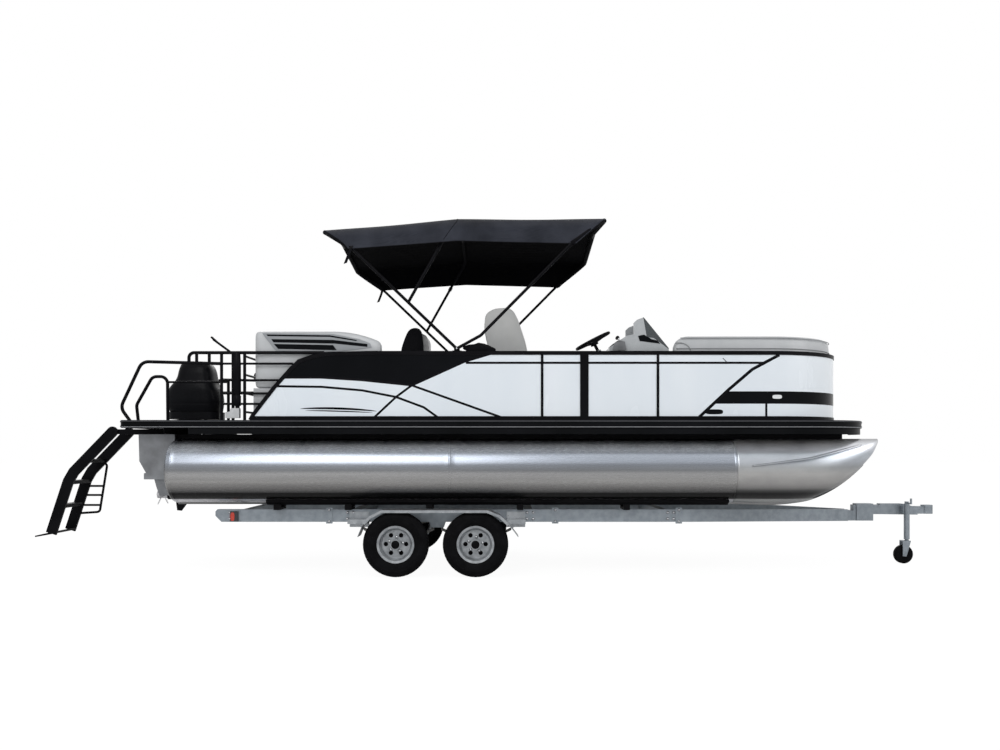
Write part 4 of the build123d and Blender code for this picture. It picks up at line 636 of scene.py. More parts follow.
def pad_surface(path, inward, across, tall, crown, round_ends=0.05, droop=((0, 1), (0, 1)), columns=48):
    """A pad swept along a path: each section is a superellipse, across by tall, that shrinks at both ends as
    a quarter circle of radius round_ends does, and swells over the middle of its length by crown. Its top
    edge falls towards the start and the end by droop, pairs of (amount, reach)."""
    count = len(path)
    run = run_along(path)
    length = run[-1]
    near = np.array([0.001, 0.01, 0.04, 0.1, 0.3, 0.6]) * round_ends / length
    depth = np.unique(np.concatenate([np.linspace(0, 1, count), near, 1 - near]))
    place = np.stack([np.interp(depth * length, run, path[:, k]) for k in (0, 1)], -1)
    turn = np.stack([np.interp(depth * length, run, inward[:, k]) for k in (0, 1)], -1)
    to_end = np.minimum(depth, 1 - depth) * length
    close = round_off(to_end, round_ends)
    u, v = squared(circle(columns), 0.42)
    shrink = 0.8 * min(across[1] - across[0], tall[1] - tall[0]) / 2 * (1 - close)
    from_start, from_end = depth * length, (1 - depth) * length
    fall = sum(
        amount * (1 - np.clip(away / reach, 0, 1)) ** 2
        for (amount, reach), away in zip(droop, (from_start, from_end))
    )
    low, high = tall
    half_a = (across[1] - across[0]) / 2 - shrink[:, None]
    top = (high - fall - shrink)[:, None]
    bottom = (low + shrink)[:, None]
    share = (2 * depth - 1)[:, None]
    swell = crown * (1 - share**6) * (1 - u[None] ** 2) * (v[None] > 0)
    offset = (across[0] + across[1]) / 2 + half_a * u
    height = (top + bottom) / 2 + (top - bottom) / 2 * v + swell
    plan = place[:, None, :] + turn[:, None, :] * offset[..., None]
    return np.concatenate([plan, height[..., None]], -1)


def swollen(piece, voxel=0.012, cap=0.01, pressure=4.0):
    """Remeshes a pad evenly and lets cloth pressure fill it, with no point moved further than cap."""
    before = piece.modifiers.new("even", "REMESH")
    before.mode = "VOXEL"
    before.voxel_size = voxel
    graph = bpy.context.evaluated_depsgraph_get()
    even = bpy.data.meshes.new_from_object(piece.evaluated_get(graph))
    piece.modifiers.clear()
    piece.data = even
    rest = np.zeros(len(even.vertices) * 3)
    even.vertices.foreach_get("co", rest)
    rest = rest.reshape(-1, 3)
    cloth = piece.modifiers.new("cloth", "CLOTH")
    cloth.settings.use_pressure = True
    cloth.settings.uniform_pressure_force = pressure
    cloth.settings.effector_weights.gravity = 0
    cloth.settings.quality = 5
    cloth.point_cache.frame_start, cloth.point_cache.frame_end = 1, 20
    scene = bpy.context.scene
    for number in range(1, 21):
        scene.frame_set(number)
    graph = bpy.context.evaluated_depsgraph_get()
    blown = piece.evaluated_get(graph).to_mesh()
    moved = np.zeros(len(blown.vertices) * 3)
    blown.vertices.foreach_get("co", moved)
    moved = moved.reshape(-1, 3) - rest
    piece.evaluated_get(graph).to_mesh_clear()
    reach = np.linalg.norm(moved, axis=1, keepdims=True)
    moved *= np.minimum(1, cap / np.maximum(reach, 1e-9))
    piece.modifiers.clear()
    scene.frame_set(1)
    even.vertices.foreach_set("co", (rest + moved).ravel())
    even.polygons.foreach_set("use_smooth", np.ones(len(even.polygons), bool))
    even.update()
    return piece


def cushion(name, path, inward, across, tall, node, crown=0.012, fill=0.7, cap=0.01, **shape):
    """One foam cushion that stands for a CAD solid."""
    piece = skin(name, pad_surface(path, inward, across, tall, crown, **shape), cushion_vinyl)
    swollen(piece, cap=cap)
    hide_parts(node)
    return piece


def tube_along(name, line, radius, paint, body="root", sides=10):
    """A round tube along a line of points: rings turned to the mean direction at each point."""
    line = np.asarray(line, float)
    along = np.gradient(line, axis=0)
    along /= np.linalg.norm(along, axis=1, keepdims=True)
    guide = np.array([0, 0, 1.0]) if np.abs(along[:, 2]).max() < 0.95 else np.array([0, 1.0, 0])
    if np.abs(along @ guide).max() > 0.95:
        guide = np.array([1.0, 0.3, 0.1]) / np.linalg.norm([1.0, 0.3, 0.1])
    first = np.cross(along, guide)
    first /= np.linalg.norm(first, axis=1, keepdims=True)
    second = np.cross(along, first)
    angle = circle(sides)
    ring = first[:, None] * np.cos(angle)[None, :, None] + second[:, None] * np.sin(angle)[None, :, None]
    return skin(name, line[:, None] + np.asarray(radius).reshape(-1, 1, 1) * ring, paint, body)


BASE_TOP, SEAT_TOP = 1.8305, 1.96
piping_grey = finish("piping_grey", (0.27, 0.28, 0.295), (0.22, 0.23, 0.24), 0.45, grain=420, bump=0.2,
                     dusty=0.03)


def seam(name, side, start, end, offset, height, radius=0.0045):
    """A piped seam along a lounge, at one inset and height."""
    path, inward = lounge_path(side, 0, start, end, 80)
    line = np.concatenate([path + inward * offset, np.full((len(path), 1), height)], 1)
    return tube_along(name, line, radius, piping_grey, sides=8)


BOW_PARTS = {-1: (1.680, 2.36, 3.05, 3.82), 1: (1.60, 2.30, 3.05, 3.82)}
AFT_FRONT = {-1: -1.147, 1: -1.33}
LOUVRE_Y = 1.2020
BOW_BACK, AFT_BACK = "bow_lounge_cushions", "aft_lounge_cushions"
for side, which in SIDES:
    marks = BOW_PARTS[side]
    path, inward = lounge_path(side, 0, marks[0] + 0.004, marks[-1] - 0.004, 120)
    cushion(
        f"bow_back_{which}", path, inward, (0.036, 0.150), (BASE_TOP, 2.338), BOW_BACK,
        crown=0.004, round_ends=0.045, droop=((0.075, 0.14), (0.02, 0.04)), fill=0.8, cap=0.003,
    )
    seam(f"bow_back_piping_{which}", side, marks[0] + 0.07, marks[-1] - 0.07, 0.0350, 2.318)
    seam(f"bow_back_lower_piping_{which}", side, marks[0] + 0.03, marks[-1] - 0.03, 0.0310, 2.215)
    cap_x = marks[0] - 1.680
    tube_along(
        f"bow_back_cap_seam_{which}",
        [(x + cap_x, side * 1.1975, z)
         for x, z in ((1.70, 2.268), (1.755, 2.272), (1.80, 2.258), (1.832, 2.232), (1.848, 2.20))],
        0.0045, piping_grey, sides=8,
    )
    for k, (start, end) in enumerate(zip(marks[:-1], marks[1:])):
        path, inward = lounge_path(side, 0, start + 0.004, end - 0.004)
        cushion(f"bow_seat_{which}_{k + 1}", path, inward, (0.163, 0.592), (BASE_TOP, SEAT_TOP - 0.014),
                BOW_BACK)
        seam(f"bow_seat_piping_{which}_{k + 1}", side, start + 0.05, end - 0.05, 0.5975, SEAT_TOP - 0.03)
    back, front = -2.39, AFT_FRONT[side]
    path, inward = lounge_path(side, 0, back + 0.004, front - 0.004)
    cushion(
        f"aft_back_{which}", path, inward, (0.036, 0.150), (BASE_TOP, 2.386), AFT_BACK,
        crown=0.004, round_ends=0.04, droop=((0, 1), (0.105, 0.48)), fill=0.8, cap=0.003,
    )
    middle = (back + front) / 2
    for k, (start, end) in enumerate(((back, middle), (middle, front))):
        path, inward = lounge_path(side, 0, start + 0.004, end - 0.004)
        cushion(f"aft_seat_{which}_{k + 1}", path, inward, (0.163, 0.612), (BASE_TOP, SEAT_TOP - 0.014),
                AFT_BACK)
        seam(f"aft_seat_piping_{which}_{k + 1}", side, start + 0.05, end - 0.05, 0.6175, SEAT_TOP - 0.03)

    moulding = finish(f"louvre_grey_{which}", (0.30, 0.315, 0.335), (0.24, 0.255, 0.27), 0.35, grain=200,
                      bump=0.06, dusty=0.05)
    shift = 0.0 if side < 0 else -0.18
    prism(
        f"aft_louvre_frame_{which}",
        [(x + shift, z) for x, z in (
            (-2.300, 2.362), (-1.62, 2.352), (-1.36, 2.300), (-1.262, 2.262), (-1.250, 2.228), (-1.58, 2.190),
            (-2.16, 2.190), (-2.195, 2.222))],
        side * LOUVRE_Y, side * 1.180, moulding, bevel=0.004,
    )
    # The slots are near-black strips laid on the grey frame: painted shade in the gaps between the louvres.
    for number, slot_shade_line in enumerate((
        [(-2.262, 2.350), (-1.65, 2.342), (-1.39, 2.297), (-1.392, 2.289), (-1.65, 2.329), (-2.252, 2.337)],
        [(-2.215, 2.305), (-1.62, 2.297), (-1.287, 2.258), (-1.287, 2.232), (-1.60, 2.264), (-2.196, 2.276)],
        [(-2.190, 2.258), (-1.62, 2.247), (-1.585, 2.200), (-2.150, 2.213)],
    )):
        prism(
            f"aft_louvre_{which}_{number + 1}", [(x + shift, z) for x, z in slot_shade_line],
            side * (LOUVRE_Y + 0.0012), side * 1.19, panel_black, bevel=0.0015,
        )

# Helm: a moulded gel-coat console with a tinted screen between two fins, three gauges, a switch panel and a
# throttle box, and a soft-grip steering wheel on a collar.
console_grey = finish(
    "console_grey", (0.42, 0.44, 0.455), (0.34, 0.36, 0.375), 0.28, patch=5, grain=180, bump=0.06, dusty=0.06,
    Coat_Weight=0.3, Coat_Roughness=0.1,
)
dress(console_grey, "console")
screen_tint = finish("screen_tint", (0.10, 0.12, 0.13), (0.08, 0.09, 0.10), 0.06, grain=3, bump=0.0,
                     dusty=0.0, swing=0.02)
screen_tint.node_tree.nodes["Principled BSDF"].inputs["Transmission Weight"].default_value = 0.6
screen_tint.node_tree.nodes["Principled BSDF"].inputs["IOR"].default_value = 1.49
dress(screen_tint, "windscreen")
grip = finish("grip_black", (0.008, 0.008, 0.009), (0.004, 0.004, 0.005), 0.5, grain=500, bump=0.3,
              dusty=0.02, **DULL)
dress(grip, "helm_wheel")
HELM_Y = -0.87


def round_part(name, centre, axis, profile, paint, body="root", sides=40):
    """A turned part: profile rows are (distance along the axis from the centre, radius)."""
    centre, axis = np.asarray(centre, float), np.asarray(axis, float)
    axis /= np.linalg.norm(axis)
    first = np.cross(axis, [0, 0, 1.0] if abs(axis[2]) < 0.9 else [1.0, 0, 0])
    first /= np.linalg.norm(first)
    second = np.cross(axis, first)
    angle = circle(sides)
    ring = np.cos(angle)[:, None] * first + np.sin(angle)[:, None] * second
    along, radius = np.asarray(profile, float).T
    grid = centre + along[:, None, None] * axis + radius[:, None, None] * ring
    return skin(name, grid, paint, body)


shade_grey = finish("shade_grey", (0.16, 0.165, 0.175), (0.09, 0.095, 0.10), 0.35, patch=9, grain=200,
                    bump=0.1, dusty=0.05)
dash_tilt = np.array([-0.568, 0, 0.823])
gauge_face = finish("gauge_face", (0.62, 0.63, 0.64), (0.50, 0.51, 0.52), 0.2, grain=80, bump=0.02, dusty=0)
for number, y in enumerate((HELM_Y - 0.12, HELM_Y, HELM_Y + 0.12)):
    foot = np.array([1.1445, y, 2.2835])
    round_part(
        f"gauge_bezel_{number + 1}", foot, dash_tilt,
        [(-0.004, 0.046), (0.008, 0.046), (0.012, 0.043), (0.012, 0.038), (0.006, 0.036)], grip,
    )
    round_part(
        f"gauge_face_{number + 1}", foot, dash_tilt, [(-0.003, 0.0365), (0.0075, 0.0365)], gauge_face,
    )
    reach = [0.012, 0.018 * (number - 1) + 0.008, 0.009]
    line = foot + 0.0085 * dash_tilt + np.outer(np.linspace(-0.2, 1, 5), reach)
    tube_along(f"gauge_needle_{number + 1}", line, 0.0012, grip, sides=6)
prism(
    "switch_panel", [(0.985, 2.1495), (0.992, 2.1555), (1.052, 2.1805), (1.054, 2.1720)], -1.10, -0.98,
    panel_black, bevel=0.002,
)
for number, y in enumerate(np.linspace(-1.085, -0.995, 5)):
    prism(
        f"switch_{number + 1}", [(1.006, 2.158), (1.009, 2.166), (1.030, 2.1755), (1.033, 2.168)], y - 0.006,
        y + 0.006, gauge_face, bevel=0.001,
    )
prism(
    "throttle_box", [(1.10, 2.20), (1.115, 2.262), (1.165, 2.285), (1.205, 2.275), (1.215, 2.21)], -1.205,
    -1.1795, shade_grey, bevel=0.008,
)
tube_along("throttle_lever", [(1.165, -1.197, 2.285), (1.158, -1.20, 2.302), (1.145, -1.20, 2.320)], 0.009,
           trim_silver)
round_part(
    "throttle_grip", (1.142, -1.165, 2.322), (0, -1, 0),
    [(-0.028, 0.010), (-0.022, 0.017), (0.028, 0.018), (0.040, 0.014), (0.044, 0.008)], grip,
    sides=20,
)
# A near-black plate on the side of the console: painted shade in its recess.
prism(
    "console_recess_shade", [(1.345, 2.338), (1.40, 2.349), (1.47, 2.306), (1.53, 2.292), (1.55, 2.268),
                       (1.36, 2.292)], -1.1825, -1.17,
    panel_black, bevel=0.003,
)
for z in (1.62, 1.76):
    round_part(
        f"console_speaker_{round(z * 100)}", (1.315, HELM_Y, z), (-1, 0, 0.06),
        [(-0.02, 0.062), (0.004, 0.062), (0.010, 0.056), (0.006, 0.048), (0.011, 0.02), (0.012, 0.004)], grip,
    )

# Stern lights: a stowed pole in a black case on each stern rail, with a fork at the tip of its arm and
# a grey foot block on the deck.
for side, which in SIDES:
    round_part(
        f"light_pole_case_{which}", (-2.5405, side * 1.23, 1.655), (0, 0, 1),
        [(0, 0.022), (0.004, 0.036), (0.10, 0.037), (0.105, 0.029), (0.115, 0.029), (0.12, 0.037),
         (0.40, 0.036), (0.52, 0.030), (0.528, 0.0225)], rail_paint, "root", 28,
    )
    prism(
        f"light_pole_foot_{which}", [(-2.640, 1.545), (-2.640, 1.590), (-2.600, 1.596), (-2.590, 1.628),
                                     (-2.520, 1.628), (-2.520, 1.545)],
        side * 1.262, side * 1.200, base_grey, bevel=0.006,
    )
    for reach, name in ((0.0, "upper"), (0.03, "lower")):
        prism(
            f"light_arm_fork_{name}_{which}",
            [(x + reach, z - 0.9 * reach)
             for x, z in ((-2.792, 2.318), (-2.782, 2.327), (-2.752, 2.297), (-2.760, 2.286))],
            side * 1.247, side * 1.213, rail_paint, bevel=0.002,
        )

# Chairs: two swivel bucket seats, each a moulded shell on an aluminium pedestal with a stuffed seat and back
# in vinyl. The helm's shell is light grey, the mate's black.
dress(trim_silver, "chair_pedestals")
shell_black = finish(
    "shell_black", (0.006, 0.006, 0.008), (0.003, 0.003, 0.004), 0.5, grain=300, bump=0.15, dusty=0.02, **DULL
)
shell_grey = finish("shell_grey", (0.46, 0.465, 0.46), (0.37, 0.375, 0.375), 0.45, patch=3, grain=300,
                    bump=0.1, dusty=0.06)
chair_vinyl = finish(
    "chair_vinyl", (0.42, 0.425, 0.425), (0.34, 0.345, 0.35), 0.42, patch=5, grain=420, bump=0.25, dusty=0.03,
    Coat_Weight=0.08
)


def blunted(outline, columns, reach):
    """An outline resampled evenly and smoothed by a running mean over reach samples each way."""
    loop = np.asarray(outline + [outline[0]], float)
    run = run_along(loop)
    at = np.linspace(0, run[-1], columns * 4, endpoint=False)
    ring = np.stack([np.interp(at, run, loop[:, k]) for k in (0, 1)], -1)
    mean = sum(np.roll(ring, shift, axis=0) for shift in range(-reach, reach + 1)) / (2 * reach + 1)
    return mean[::4]


def side_form(name, outline, low_y, high_y, paint, body, reach, round_ends, rows=22, columns=64):
    """A form with a blunted side outline, carried across the chair, that draws in at both cheeks as a quarter
    circle does."""
    ring = blunted(outline, columns, reach)
    y = low_y + (high_y - low_y) * (1 - np.cos(np.linspace(0, np.pi, rows))) / 2
    to_end = np.minimum(y - low_y, high_y - y)
    close = round_off(to_end, round_ends)
    centre = ring.mean(0)
    size = np.linalg.norm(ring - centre, axis=1)
    inset = np.minimum(round_ends * 0.8, size * 0.8)
    scaled = 1 - (1 - close)[:, None] * (inset / size)[None]
    flat = centre + scaled[..., None] * (ring - centre)
    grid = np.stack([flat[..., 0], np.broadcast_to(y[:, None], scaled.shape), flat[..., 1]], -1)
    return skin(name, grid, paint, body)


SWIVEL_Z = 1.85
CHAIRS = (  # who, swivel x and y, half width, shell paint, outline of a wing counted from the swivel
    ("helm", 0.068, -0.62, 0.25, shell_grey, [
        (-0.150, 0.003), (-0.165, 0.30), (-0.200, 0.48), (-0.229, 0.606), (-0.215, 0.747), (-0.135, 0.800),
        (0.002, 0.812),
        (0.062, 0.790), (0.116, 0.686), (0.190, 0.46), (0.222, 0.30), (0.226, 0.003)]),
    ("mate", -0.917, 0.45, 0.24, shell_black, [
        (-0.165, 0.003), (-0.196, 0.30), (-0.191, 0.505), (-0.157, 0.610), (-0.115, 0.710), (-0.07, 0.745),
        (0.015, 0.742),
        (0.045, 0.690), (0.060, 0.52), (0.075, 0.33), (0.140, 0.18), (0.224, 0.10), (0.226, 0.003)]),
)
for who, x, y, half, shell, wing in CHAIRS:
    body = f"{who}_chair"
    inner = half - 0.0445
    outline = [(x + dx, SWIVEL_Z + dz) for dx, dz in wing]
    for which, low_y in (("starboard", y - half), ("port", y + inner + 0.0025)):
        piece = side_form(
            f"{who}_shell_wing_{which}", outline, low_y, low_y + 0.042, shell, body, 6, 0.016,
            rows=12, columns=80
        )
        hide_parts(f"{who}_chair_shell")
    top = max(dz for _, dz in wing)
    rear = [(x + dx, SWIVEL_Z + dz) for dx, dz in wing if dx < 0 and dz > 0.1]
    lining = [(-0.125, top - 0.06), (-0.136, 0.5), (-0.130, 0.25), (-0.118, 0.003)]
    spine = [(x - 0.16, 1.853)] + rear + [(x + dx, SWIVEL_Z + dz) for dx, dz in lining]
    side_form(f"{who}_shell_back", spine, y - inner - 0.01, y + inner + 0.01, shell, body, 4,
              0.01, rows=6)
    round_part(
        f"{who}_shell_socket", (x, y, 1.79), (0, 0, 1), [(0, 0.044), (0.002, 0.052), (0.06, 0.052),
                                                         (0.0605, 0.0385), (0, 0.0385)],
        shell, body, 32,
    )
    pan = [(x - 0.17, 1.8505), (x + 0.226, 1.8505), (x + 0.226, 1.898), (x - 0.13, 1.898)]
    side_form(f"{who}_shell_pan", pan, y - inner - 0.01, y + inner + 0.01, shell, body, 3,
              0.01, rows=6)
    seat = [(x - 0.112, 1.902), (x + 0.222, 1.902), (x + 0.222, 2.02), (x + 0.20, 2.034), (x - 0.112, 2.012)]
    thick = 0.0 if who == "helm" else 0.135
    back = [(x + dx, SWIVEL_Z + dz) for dx, dz in (
        (-0.110, 0.19), (-0.128, 0.27), (-0.130, top - 0.07), (-0.040 + thick, top - 0.055),
        (-0.022 + thick, top - 0.18),
        (-0.008 + 0.6 * thick, 0.27), (-0.010, 0.19))]
    for what, outline in (("seat", seat), ("back", back)):
        pad = side_form(
            f"{who}_chair_{what}", outline, y - inner, y + inner, chair_vinyl, body, 12, 0.03
        )
        swollen(pad, voxel=0.01, cap=0.008)
        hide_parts(f"{who}_chair_cushions")

# Sun top: a charcoal woven canopy over three tube bows, its underside a near-black copy of the cloth as
# painted shade.
# The rear bow stands on the fence, the middle one hangs on it and the front one opens forward. Sewn sleeves
# hold the cloth to the bows.
dress(rail_paint, "sun_top_mounts", "sun_top_rear_bow", "sun_top_mid_bow", "sun_top_front_bow")
canopy_cloth = woven(
    "canopy_cloth", (0.044, 0.048, 0.062), (0.020, 0.022, 0.029), 220, 0.8, Sheen_Weight=0.08, **DULL
)
# Painted shade: the canopy's underside is a near-black copy of the cloth.
canopy_underside_shade = woven("canopy_underside_shade", (0.004, 0.004, 0.005), (0.002, 0.002, 0.0025), 220, 0.9,
                      Specular_IOR_Level=0.04)
sleeve_cloth = woven("sleeve_cloth", (0.008, 0.008, 0.010), (0.004, 0.004, 0.005), 220, 0.8, **DULL)
REAR_X, MID_X, FRONT_X = -1.724, -0.418, 1.026
BOW_X = np.array([REAR_X, MID_X, FRONT_X])
BOW_TOP = np.array([3.402, 3.512, 3.512])
BOW_HALF = np.array([1.20, 1.215, 1.24])
CROWN, SLOPE, SHOULDER_IN = 0.09, 0.11, 0.06


def arch(x, hem, lift, out, share):
    """Half a cross-section from the crown to the hem: straight down the slope, a quadratic curve over the
    shoulder, and straight down the flap. share runs from 0 at the crown to 1 at the hem. Arrays broadcast."""
    half = np.interp(x, BOW_X, BOW_HALF) - SHOULDER_IN + out
    crown = np.interp(x, BOW_X, BOW_TOP) + CROWN + lift
    corner_z = crown - SLOPE * half
    hem_y = half + SHOULDER_IN
    soft = 0.12
    leg = np.hypot(hem_y - half, corner_z - hem)
    in_y, in_z = half - soft, crown - SLOPE * (half - soft)
    drop = np.minimum(soft / leg, 0.8)
    low_y, low_z = half + (hem_y - half) * drop, corner_z + (hem - corner_z) * drop
    flat = np.clip(share / 0.74, 0, 1)
    turn = np.clip((share - 0.74) / 0.14, 0, 1)
    fall = np.clip((share - 0.88) / 0.12, 0, 1)
    y = np.where(turn > 0, (1 - turn) ** 2 * in_y + 2 * turn * (1 - turn) * half + turn**2 * low_y,
                 flat * in_y)
    z = np.where(
        turn > 0, (1 - turn) ** 2 * in_z + 2 * turn * (1 - turn) * corner_z + turn**2 * low_z,
        crown - SLOPE * flat * in_y
    )
    y = y + (hem_y - low_y) * fall
    z = z + (hem - low_z) * fall
    return y, z


def canopy_surface(rows=110, columns=161):
    """Arches from the rear bow to the front bow. Both ends slant inwards below the shoulder, along the bows'
    legs. The cloth dips by a sine squared between bows, and fine pulls run along it, widest on the flap."""
    share = np.linspace(-1, 1, columns)
    ends = []
    for end_x, knots, values in (
        (REAR_X, [3.15, 3.212, 3.40], [-1.44, -1.50, -1.745]),
        (FRONT_X, [3.15, 3.212, 3.50], [0.69, 0.72, 1.040]),
    ):
        hem = 3.178 if end_x < 0 else 3.222
        height = arch(end_x, hem, 0.0175, 0.022, np.abs(share))[1]
        ends.append(np.interp(height, knots, values))
    along = np.linspace(0, 1, rows)[:, None]
    x = ends[0] + (ends[1] - ends[0]) * along
    hem = np.interp(x, [-1.44, MID_X, 0.70], [3.178, 3.250, 3.222])
    y, z = arch(x, hem, 0.0175, 0.022, np.abs(share)[None])
    k = np.clip(np.searchsorted(BOW_X, x) - 1, 0, 1)
    gap = np.clip((x - BOW_X[k]) / (BOW_X[k + 1] - BOW_X[k]), 0, 1)
    slack = np.sin(np.pi * gap) ** 2
    flatness = 1 - np.clip((np.abs(share) - 0.70) / 0.12, 0, 1)
    z = z - 0.016 * slack * flatness
    pulls = np.sin(np.abs(share) * 95 + 0.6 * np.sin(x * 2.1)) * (0.35 + 0.65 * np.sin(x * 1.3 + 2) ** 2)
    y = y + 0.0038 * pulls * np.clip((np.abs(share) - 0.72) / 0.1, 0, 1) * slack
    z = z + 0.0016 * pulls * slack * flatness
    y = y - 0.010 * slack * np.clip((np.abs(share) - 0.86) / 0.14, 0, 1)
    return np.stack([x, np.sign(share) * y, z], -1)


canopy_grid = canopy_surface()
canopy_piece = skin("canopy_sheet", canopy_grid, canopy_cloth, "top_rear", wrap=False)
# The solidified inner face takes the near-black second material: painted shade under the canopy.
canopy_piece.data.materials.append(canopy_underside_shade)
lining = canopy_piece.modifiers.new("lining", "SOLIDIFY")
lining.thickness = 0.003
lining.offset = -1
lining.material_offset = 1
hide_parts("canopy")


def bow_line(x, y, leg, count=25):
    """The middle line of a bow's arch, from the foot of one flap to the other, with soft shoulders."""
    share = np.linspace(-1, 1, 2 * count + 1)
    side_y, z = arch(np.full(len(share), x), leg[1], 0, y - np.interp(x, BOW_X, BOW_HALF), np.abs(share))
    height = np.clip((BOW_TOP[BOW_X == x][0] - 0.03 - z) / (BOW_TOP[BOW_X == x][0] - 0.03 - leg[1]), 0, 1)
    return np.stack([x + (leg[0] - x) * height, np.sign(share) * side_y, z], -1)


for bow, line, radius, sides in (
    ("rear", bow_line(REAR_X, 1.20, (-1.432, 3.180)), 0.0225, 14),
    ("front", bow_line(FRONT_X, 1.24, (0.690, 3.223)), 0.0235, 14),
    ("mid", bow_line(MID_X, 1.16, (-0.545, 3.285)), 0.0165, 12),
):
    tube_along(f"{bow}_sleeve", line, radius, sleeve_cloth, f"top_{bow}", sides)
high = canopy_grid[:, :, 2].max(0)
seam_x = MID_X - 0.14 * np.clip((3.46 - high) / 0.2, 0, 1)
seam_line = np.array([
    [np.interp(at, canopy_grid[:, j, 0], canopy_grid[:, j, k]) for k in range(3)] for j,
    at in enumerate(seam_x)
]) + np.array([0, 0, 0.001])
mid_seam = tube_along("mid_seam", seam_line[2:-2], 0.0028, sleeve_cloth, "top_rear", 6)
hem_pieces = []
for column, which in ((0, "starboard"), (160, "port")):
    hem_pieces.append(tube_along(f"hem_{which}", canopy_grid[:, column], 0.004, sleeve_cloth, "top_rear",
                                 8))


def webbing(name, line, across, paint, body, width=0.028, thick=0.0025):
    """A flat strap along a line of points, with its width along one direction and a rounded edge."""
    line, across = np.asarray(line, float), np.asarray(across, float)
    along = np.gradient(line, axis=0)
    normal = np.cross(along, across)
    normal /= np.linalg.norm(normal, axis=1, keepdims=True)
    ring = [(-0.5, 0), (-0.46, 0.5), (0.46, 0.5), (0.5, 0), (0.46, -0.5), (-0.46, -0.5)]
    grid = np.stack([line + u * width * across + v * thick * normal for u, v in ring], 1)
    return skin(name, grid, paint, body)


for side, which in SIDES:
    webbing(
        f"brace_strap_{which}", [(-1.437, side * 1.222, 3.205), (-1.452, side * 1.23, 3.15),
                                 (-1.47, side * 1.235, 3.10), (-1.495, side * 1.232, 3.035)],
        (0.95, 0, 0.3), sleeve_cloth, "top_rear", width=0.034,
    )
    foot, head = np.array([-0.892, side * 1.16, 2.672]), np.array([-0.559, side * 1.16, 3.266])
    axis = head - foot
    centre = foot + 0.86 * axis
    round_part(
        f"mid_slider_{which}", centre, axis, [(-0.022, 0.019), (-0.02, 0.021), (0.02, 0.021), (0.022, 0.019)],
        grip, "top_mid", 20,
    )
    for bow, y, out in (("rear", 1.2 - 0.0165, -side), ("front", 1.24 + 0.0165, side)):
        round_part(
            f"foot_bolt_{bow}_{which}", (-0.417, side * y, 2.211), (0, out, 0),
            [(0, 0.009), (0.006, 0.009), (0.008, 0.006)], trim_silver, f"top_{bow}", 6,
        )
for piece in (canopy_piece, mid_seam, *hem_pieces):
    piece.parent = None
    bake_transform(piece)

prism(
    "panel_tick", [(2.148, 2.118), (2.154, 2.121), (2.190, 2.083), (2.184, 2.080)], -SKIN_Y,
    -(SKIN_Y - 0.006), panel_black,
)


def boot_surface(side, rows=48, columns=40):
    """A limp roll of cloth on the top rail: an ellipse of half height h = 0.055 sin(pi t)^0.45, wrinkled
    by three sines of the way round and the way along t."""
    t = np.linspace(0.004, 0.996, rows)[:, None]
    turn = circle(columns)[None]
    swell = np.sin(np.pi * t) ** 0.45 * (0.80 + 0.25 * np.exp(-(((t - 0.55) / 0.2) ** 2)))
    wrinkle = 1 + 0.05 * np.sin(5 * turn + 9 * t)
    wrinkle = wrinkle + 0.04 * np.sin(23 * t + 2 * turn) + 0.03 * np.sin(9 * turn - 31 * t)
    x = -0.362 + 0.322 * t + 0 * turn
    y = side * (1.196 - 0.027 * swell * wrinkle * np.cos(turn))
    z = 2.222 + 0.055 * swell * wrinkle * np.sin(turn) - 0.02 * t
    return np.stack([x, y + 0 * x, z], -1)


for side, which in SIDES:
    skin(f"sun_top_boot_{which}", boot_surface(side), sleeve_cloth, "root")

# Trailer: hot-dip galvanised rails, cross beams and drawbar, with carpeted bunks, two sprung axles,
# pressed fenders, steel wheels and a jockey leg at the front.
galvanised = finish(
    "galvanised", (0.30, 0.335, 0.37), (0.225, 0.255, 0.285), 0.45, metal=0.5, patch=16, grain=90, bump=0.06,
    dusty=0.06
)
dress(galvanised, "trailer_frame", "spring_hangers", "coupler", "jockey_tube", "jockey_fork")
fender_bright = finish(
    "fender_bright", (0.40, 0.42, 0.44), (0.26, 0.28, 0.30), 0.3, metal=0.7, patch=14, grain=70, bump=0.06,
    dusty=0.08
)
dress(fender_bright, "fenders")
carpet = woven("bunk_carpet", (0.008, 0.008, 0.009), (0.004, 0.004, 0.005), 180, 0.95, bump=0.8, **DULL)
dress(carpet, "bunk_boards")
dress(channel_paint_and_shade, "bunk_brackets")
axle_grey = finish("axle_grey", (0.22, 0.215, 0.21), (0.12, 0.12, 0.12), 0.55, metal=0.5, patch=9, grain=150,
                   bump=0.15)
dress(axle_grey, "axle_beams", "leaf_springs")


def hex_head(name, centre, axis, across, paint=trim_silver, body="root"):
    """A bolt head on its washer."""
    round_part(
        name, centre, axis, [(0, across * 0.75), (0.003, across * 0.75), (0.003, across * 0.5),
                             (0.010, across * 0.5), (0.012, across * 0.4)],
        paint, body, 12,
    )


FRAME_Y = 0.9515
bolt_number = 0
for side in (-1, 1):
    for x, z in [(x + dx, z) for x in (-2.66, -1.49, 0.30, 1.70) for dx in (-0.03, 0.03) for z in (0.545,
        0.608)]:
        bolt_number += 1
        hex_head(f"frame_bolt_{bolt_number}", (x, side * FRAME_Y, z), (0, side, 0), 0.019)

# Bunk clamps: a flat bar with two bolt heads, on the frame under each bunk post.
for side, which in SIDES:
    for number, x in enumerate((-1.70, 0.55, 1.78)):
        prism(
            f"bunk_clamp_{which}_{number + 1}", [(x - 0.03, 0.500), (x + 0.03, 0.500), (x + 0.03, 0.655),
                                                 (x - 0.03, 0.655)],
            side * 0.957, side * 0.9505, galvanised, bevel=0.002,
        )
        for z in (0.52, 0.635):
            hex_head(f"clamp_bolt_{which}_{number + 1}_{round(z * 1000)}", (x, side * 0.957, z), (0, side, 0),
                     0.02)

